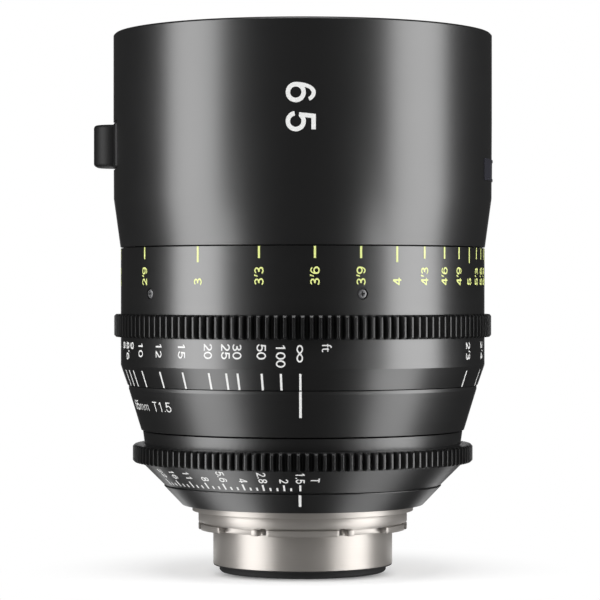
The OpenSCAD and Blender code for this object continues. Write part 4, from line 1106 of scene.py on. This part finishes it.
def layFloor():
    floor = added(bpy.ops.mesh.primitive_plane_add, size=studio["floor"], location=(0, 0, cadLow.z))
    floor.name = "floor"
    paper, wire = newFinish("paper")
    spot = objectSpot(wire)
    reach = vectorSum(wire, "LENGTH", spot, take="Value")
    nudged = vectorSum(wire, "ADD", spot, (0, studio["forward"], 0))
    spread = vectorSum(wire, "LENGTH", nudged, take="Value")
    # the painted contact shadow is measured in an oval round a spot nudged towards the camera
    squeezed = vectorSum(wire, "MULTIPLY", nudged, (studio["squeeze"], 1, 1))
    paintedShadowReach = vectorSum(wire, "LENGTH", squeezed, take="Value")
    away = fade(wire, spread, studio["nearEdge"], studio["farEdge"])
    straight, mirror, shadow = looking(wire)
    share = wire.add("SeparateXYZ", None, {0: spot}, take=1) * reach ** -1
    close = wire.sum("LESS_THAN", reach, studio["nearReach"])
    wideBack = fade(wire, share, studio["nearSweep"], studio["nearFull"])
    back = fade(wire, share, studio["sweepEdge"], studio["sweepFull"]) * (1 - close) + wideBack * close
    seen = wire.sum("MAXIMUM", straight, mirror * back)
    unseen = wire.sum("MAXIMUM", shadow, mirror * (1 - back))
    shade = wire.add("BsdfDiffuse", None, {"Color": (studio["paper"],) * 3 + (1,)})
    # painted shadow: the floor's shadow from the lamps is real, but near the base the lift is also taken
    # away, which darkens the floor there
    paintedShadowFade = fade(wire, paintedShadowReach, studio["touch"], studio["clear"])
    lift = wire.add("Emission", None, {"Strength": seen * paintedShadowFade * studio["lift"]})
    white = wire.add("Emission", None, {"Strength": 1.0})
    near = wire.add("AddShader", None, {0: shade, 1: lift})
    sheet = wire.add("MixShader", None, {0: seen * away, 1: near, 2: white})
    surface = wire.add("MixShader", None, {0: unseen, 1: sheet, 2: wire.add("BsdfTransparent")})
    wire.add("OutputMaterial", None, {"Surface": surface})
    floor.data.materials.append(paper)


layFloor()

world = bpy.data.worlds.new("studio")
bpy.context.scene.world = world
world.use_nodes = True
world.node_tree.nodes.clear()
wire = Wire(world.node_tree)
straight, mirror, shadow = looking(wire)
ahead = wire.add("SeparateXYZ", None, {0: wire.add("TexCoord", take="Generated")}, take=1)
swept = mirror * fade(wire, ahead, studio["sweepEdge"], studio["sweepFull"])
white = wire.sum("MINIMUM", straight + swept, 1.0)
dim = studio["fill"] + mirror * (studio["gloss"] - studio["fill"])
sky = wire.add("Background", None, {"Color": (1, 1, 1, 1), "Strength": dim + white * (1 - dim)})
wire.add("OutputWorld", None, {"Surface": sky})

# soft boxes: azimuth, distance, height, then the box's width, its height and its level
softBoxes = {
    "leftBox": (-66.8, 0.95, 0.3, 0.605, 1.1, 4.1),
    "leftWaist": (-66.5, 0.95, -0.335, 0.58, 0.17, 2.5),
    "leftSkirt": (-65, 0.95, -0.66, 0.64, 0.48, 2.5),
    "rightBox": (71.8, 0.95, 0.3, 0.675, 1.1, 4.1),
    "rightWaist": (68.5, 0.95, -0.335, 0.53, 0.17, 2.5),
    "rightSkirt": (66, 0.95, -0.66, 0.62, 0.48, 2.5),
    "lowLeftBox": (-113, 0.265, -0.39, 0.18, 0.2, 2.5),
    "lowRightBox": (109, 0.25, -0.42, 0.18, 0.2, 1.8),
    "leftMountBox": (-44.5, 0.95, -0.135, 0.13, 0.13, 6.5),
    "rightMountBox": (44, 0.95, -0.135, 0.17, 0.13, 6.5),
    "topBox": (0, 0.27, 1.0, 0.6, 0.4, 4.2),
}
for name, (azimuth, distance, height, wide, tall, level) in softBoxes.items():
    turn = math.radians(azimuth)
    place = Vector((math.sin(turn) * distance, -math.cos(turn) * distance, height))
    aimHeight = height if distance > studio["farBox"] else studio["lensMiddle"]
    aim = Vector((0, 0, aimHeight)) - place
    lamp = added(bpy.ops.object.light_add, type="AREA", location=place)
    lamp.name = name
    lamp.rotation_euler = aim.to_track_quat("-Z", "Y").to_euler()
    lamp.data.shape = "RECTANGLE"
    lamp.data.size, lamp.data.size_y = wide, tall
    lamp.data.energy = level * math.pi * wide * tall
    lamp.visible_camera = False
bpy.context.scene.view_settings.view_transform = "Standard"
pickOnly()
print("studio set")
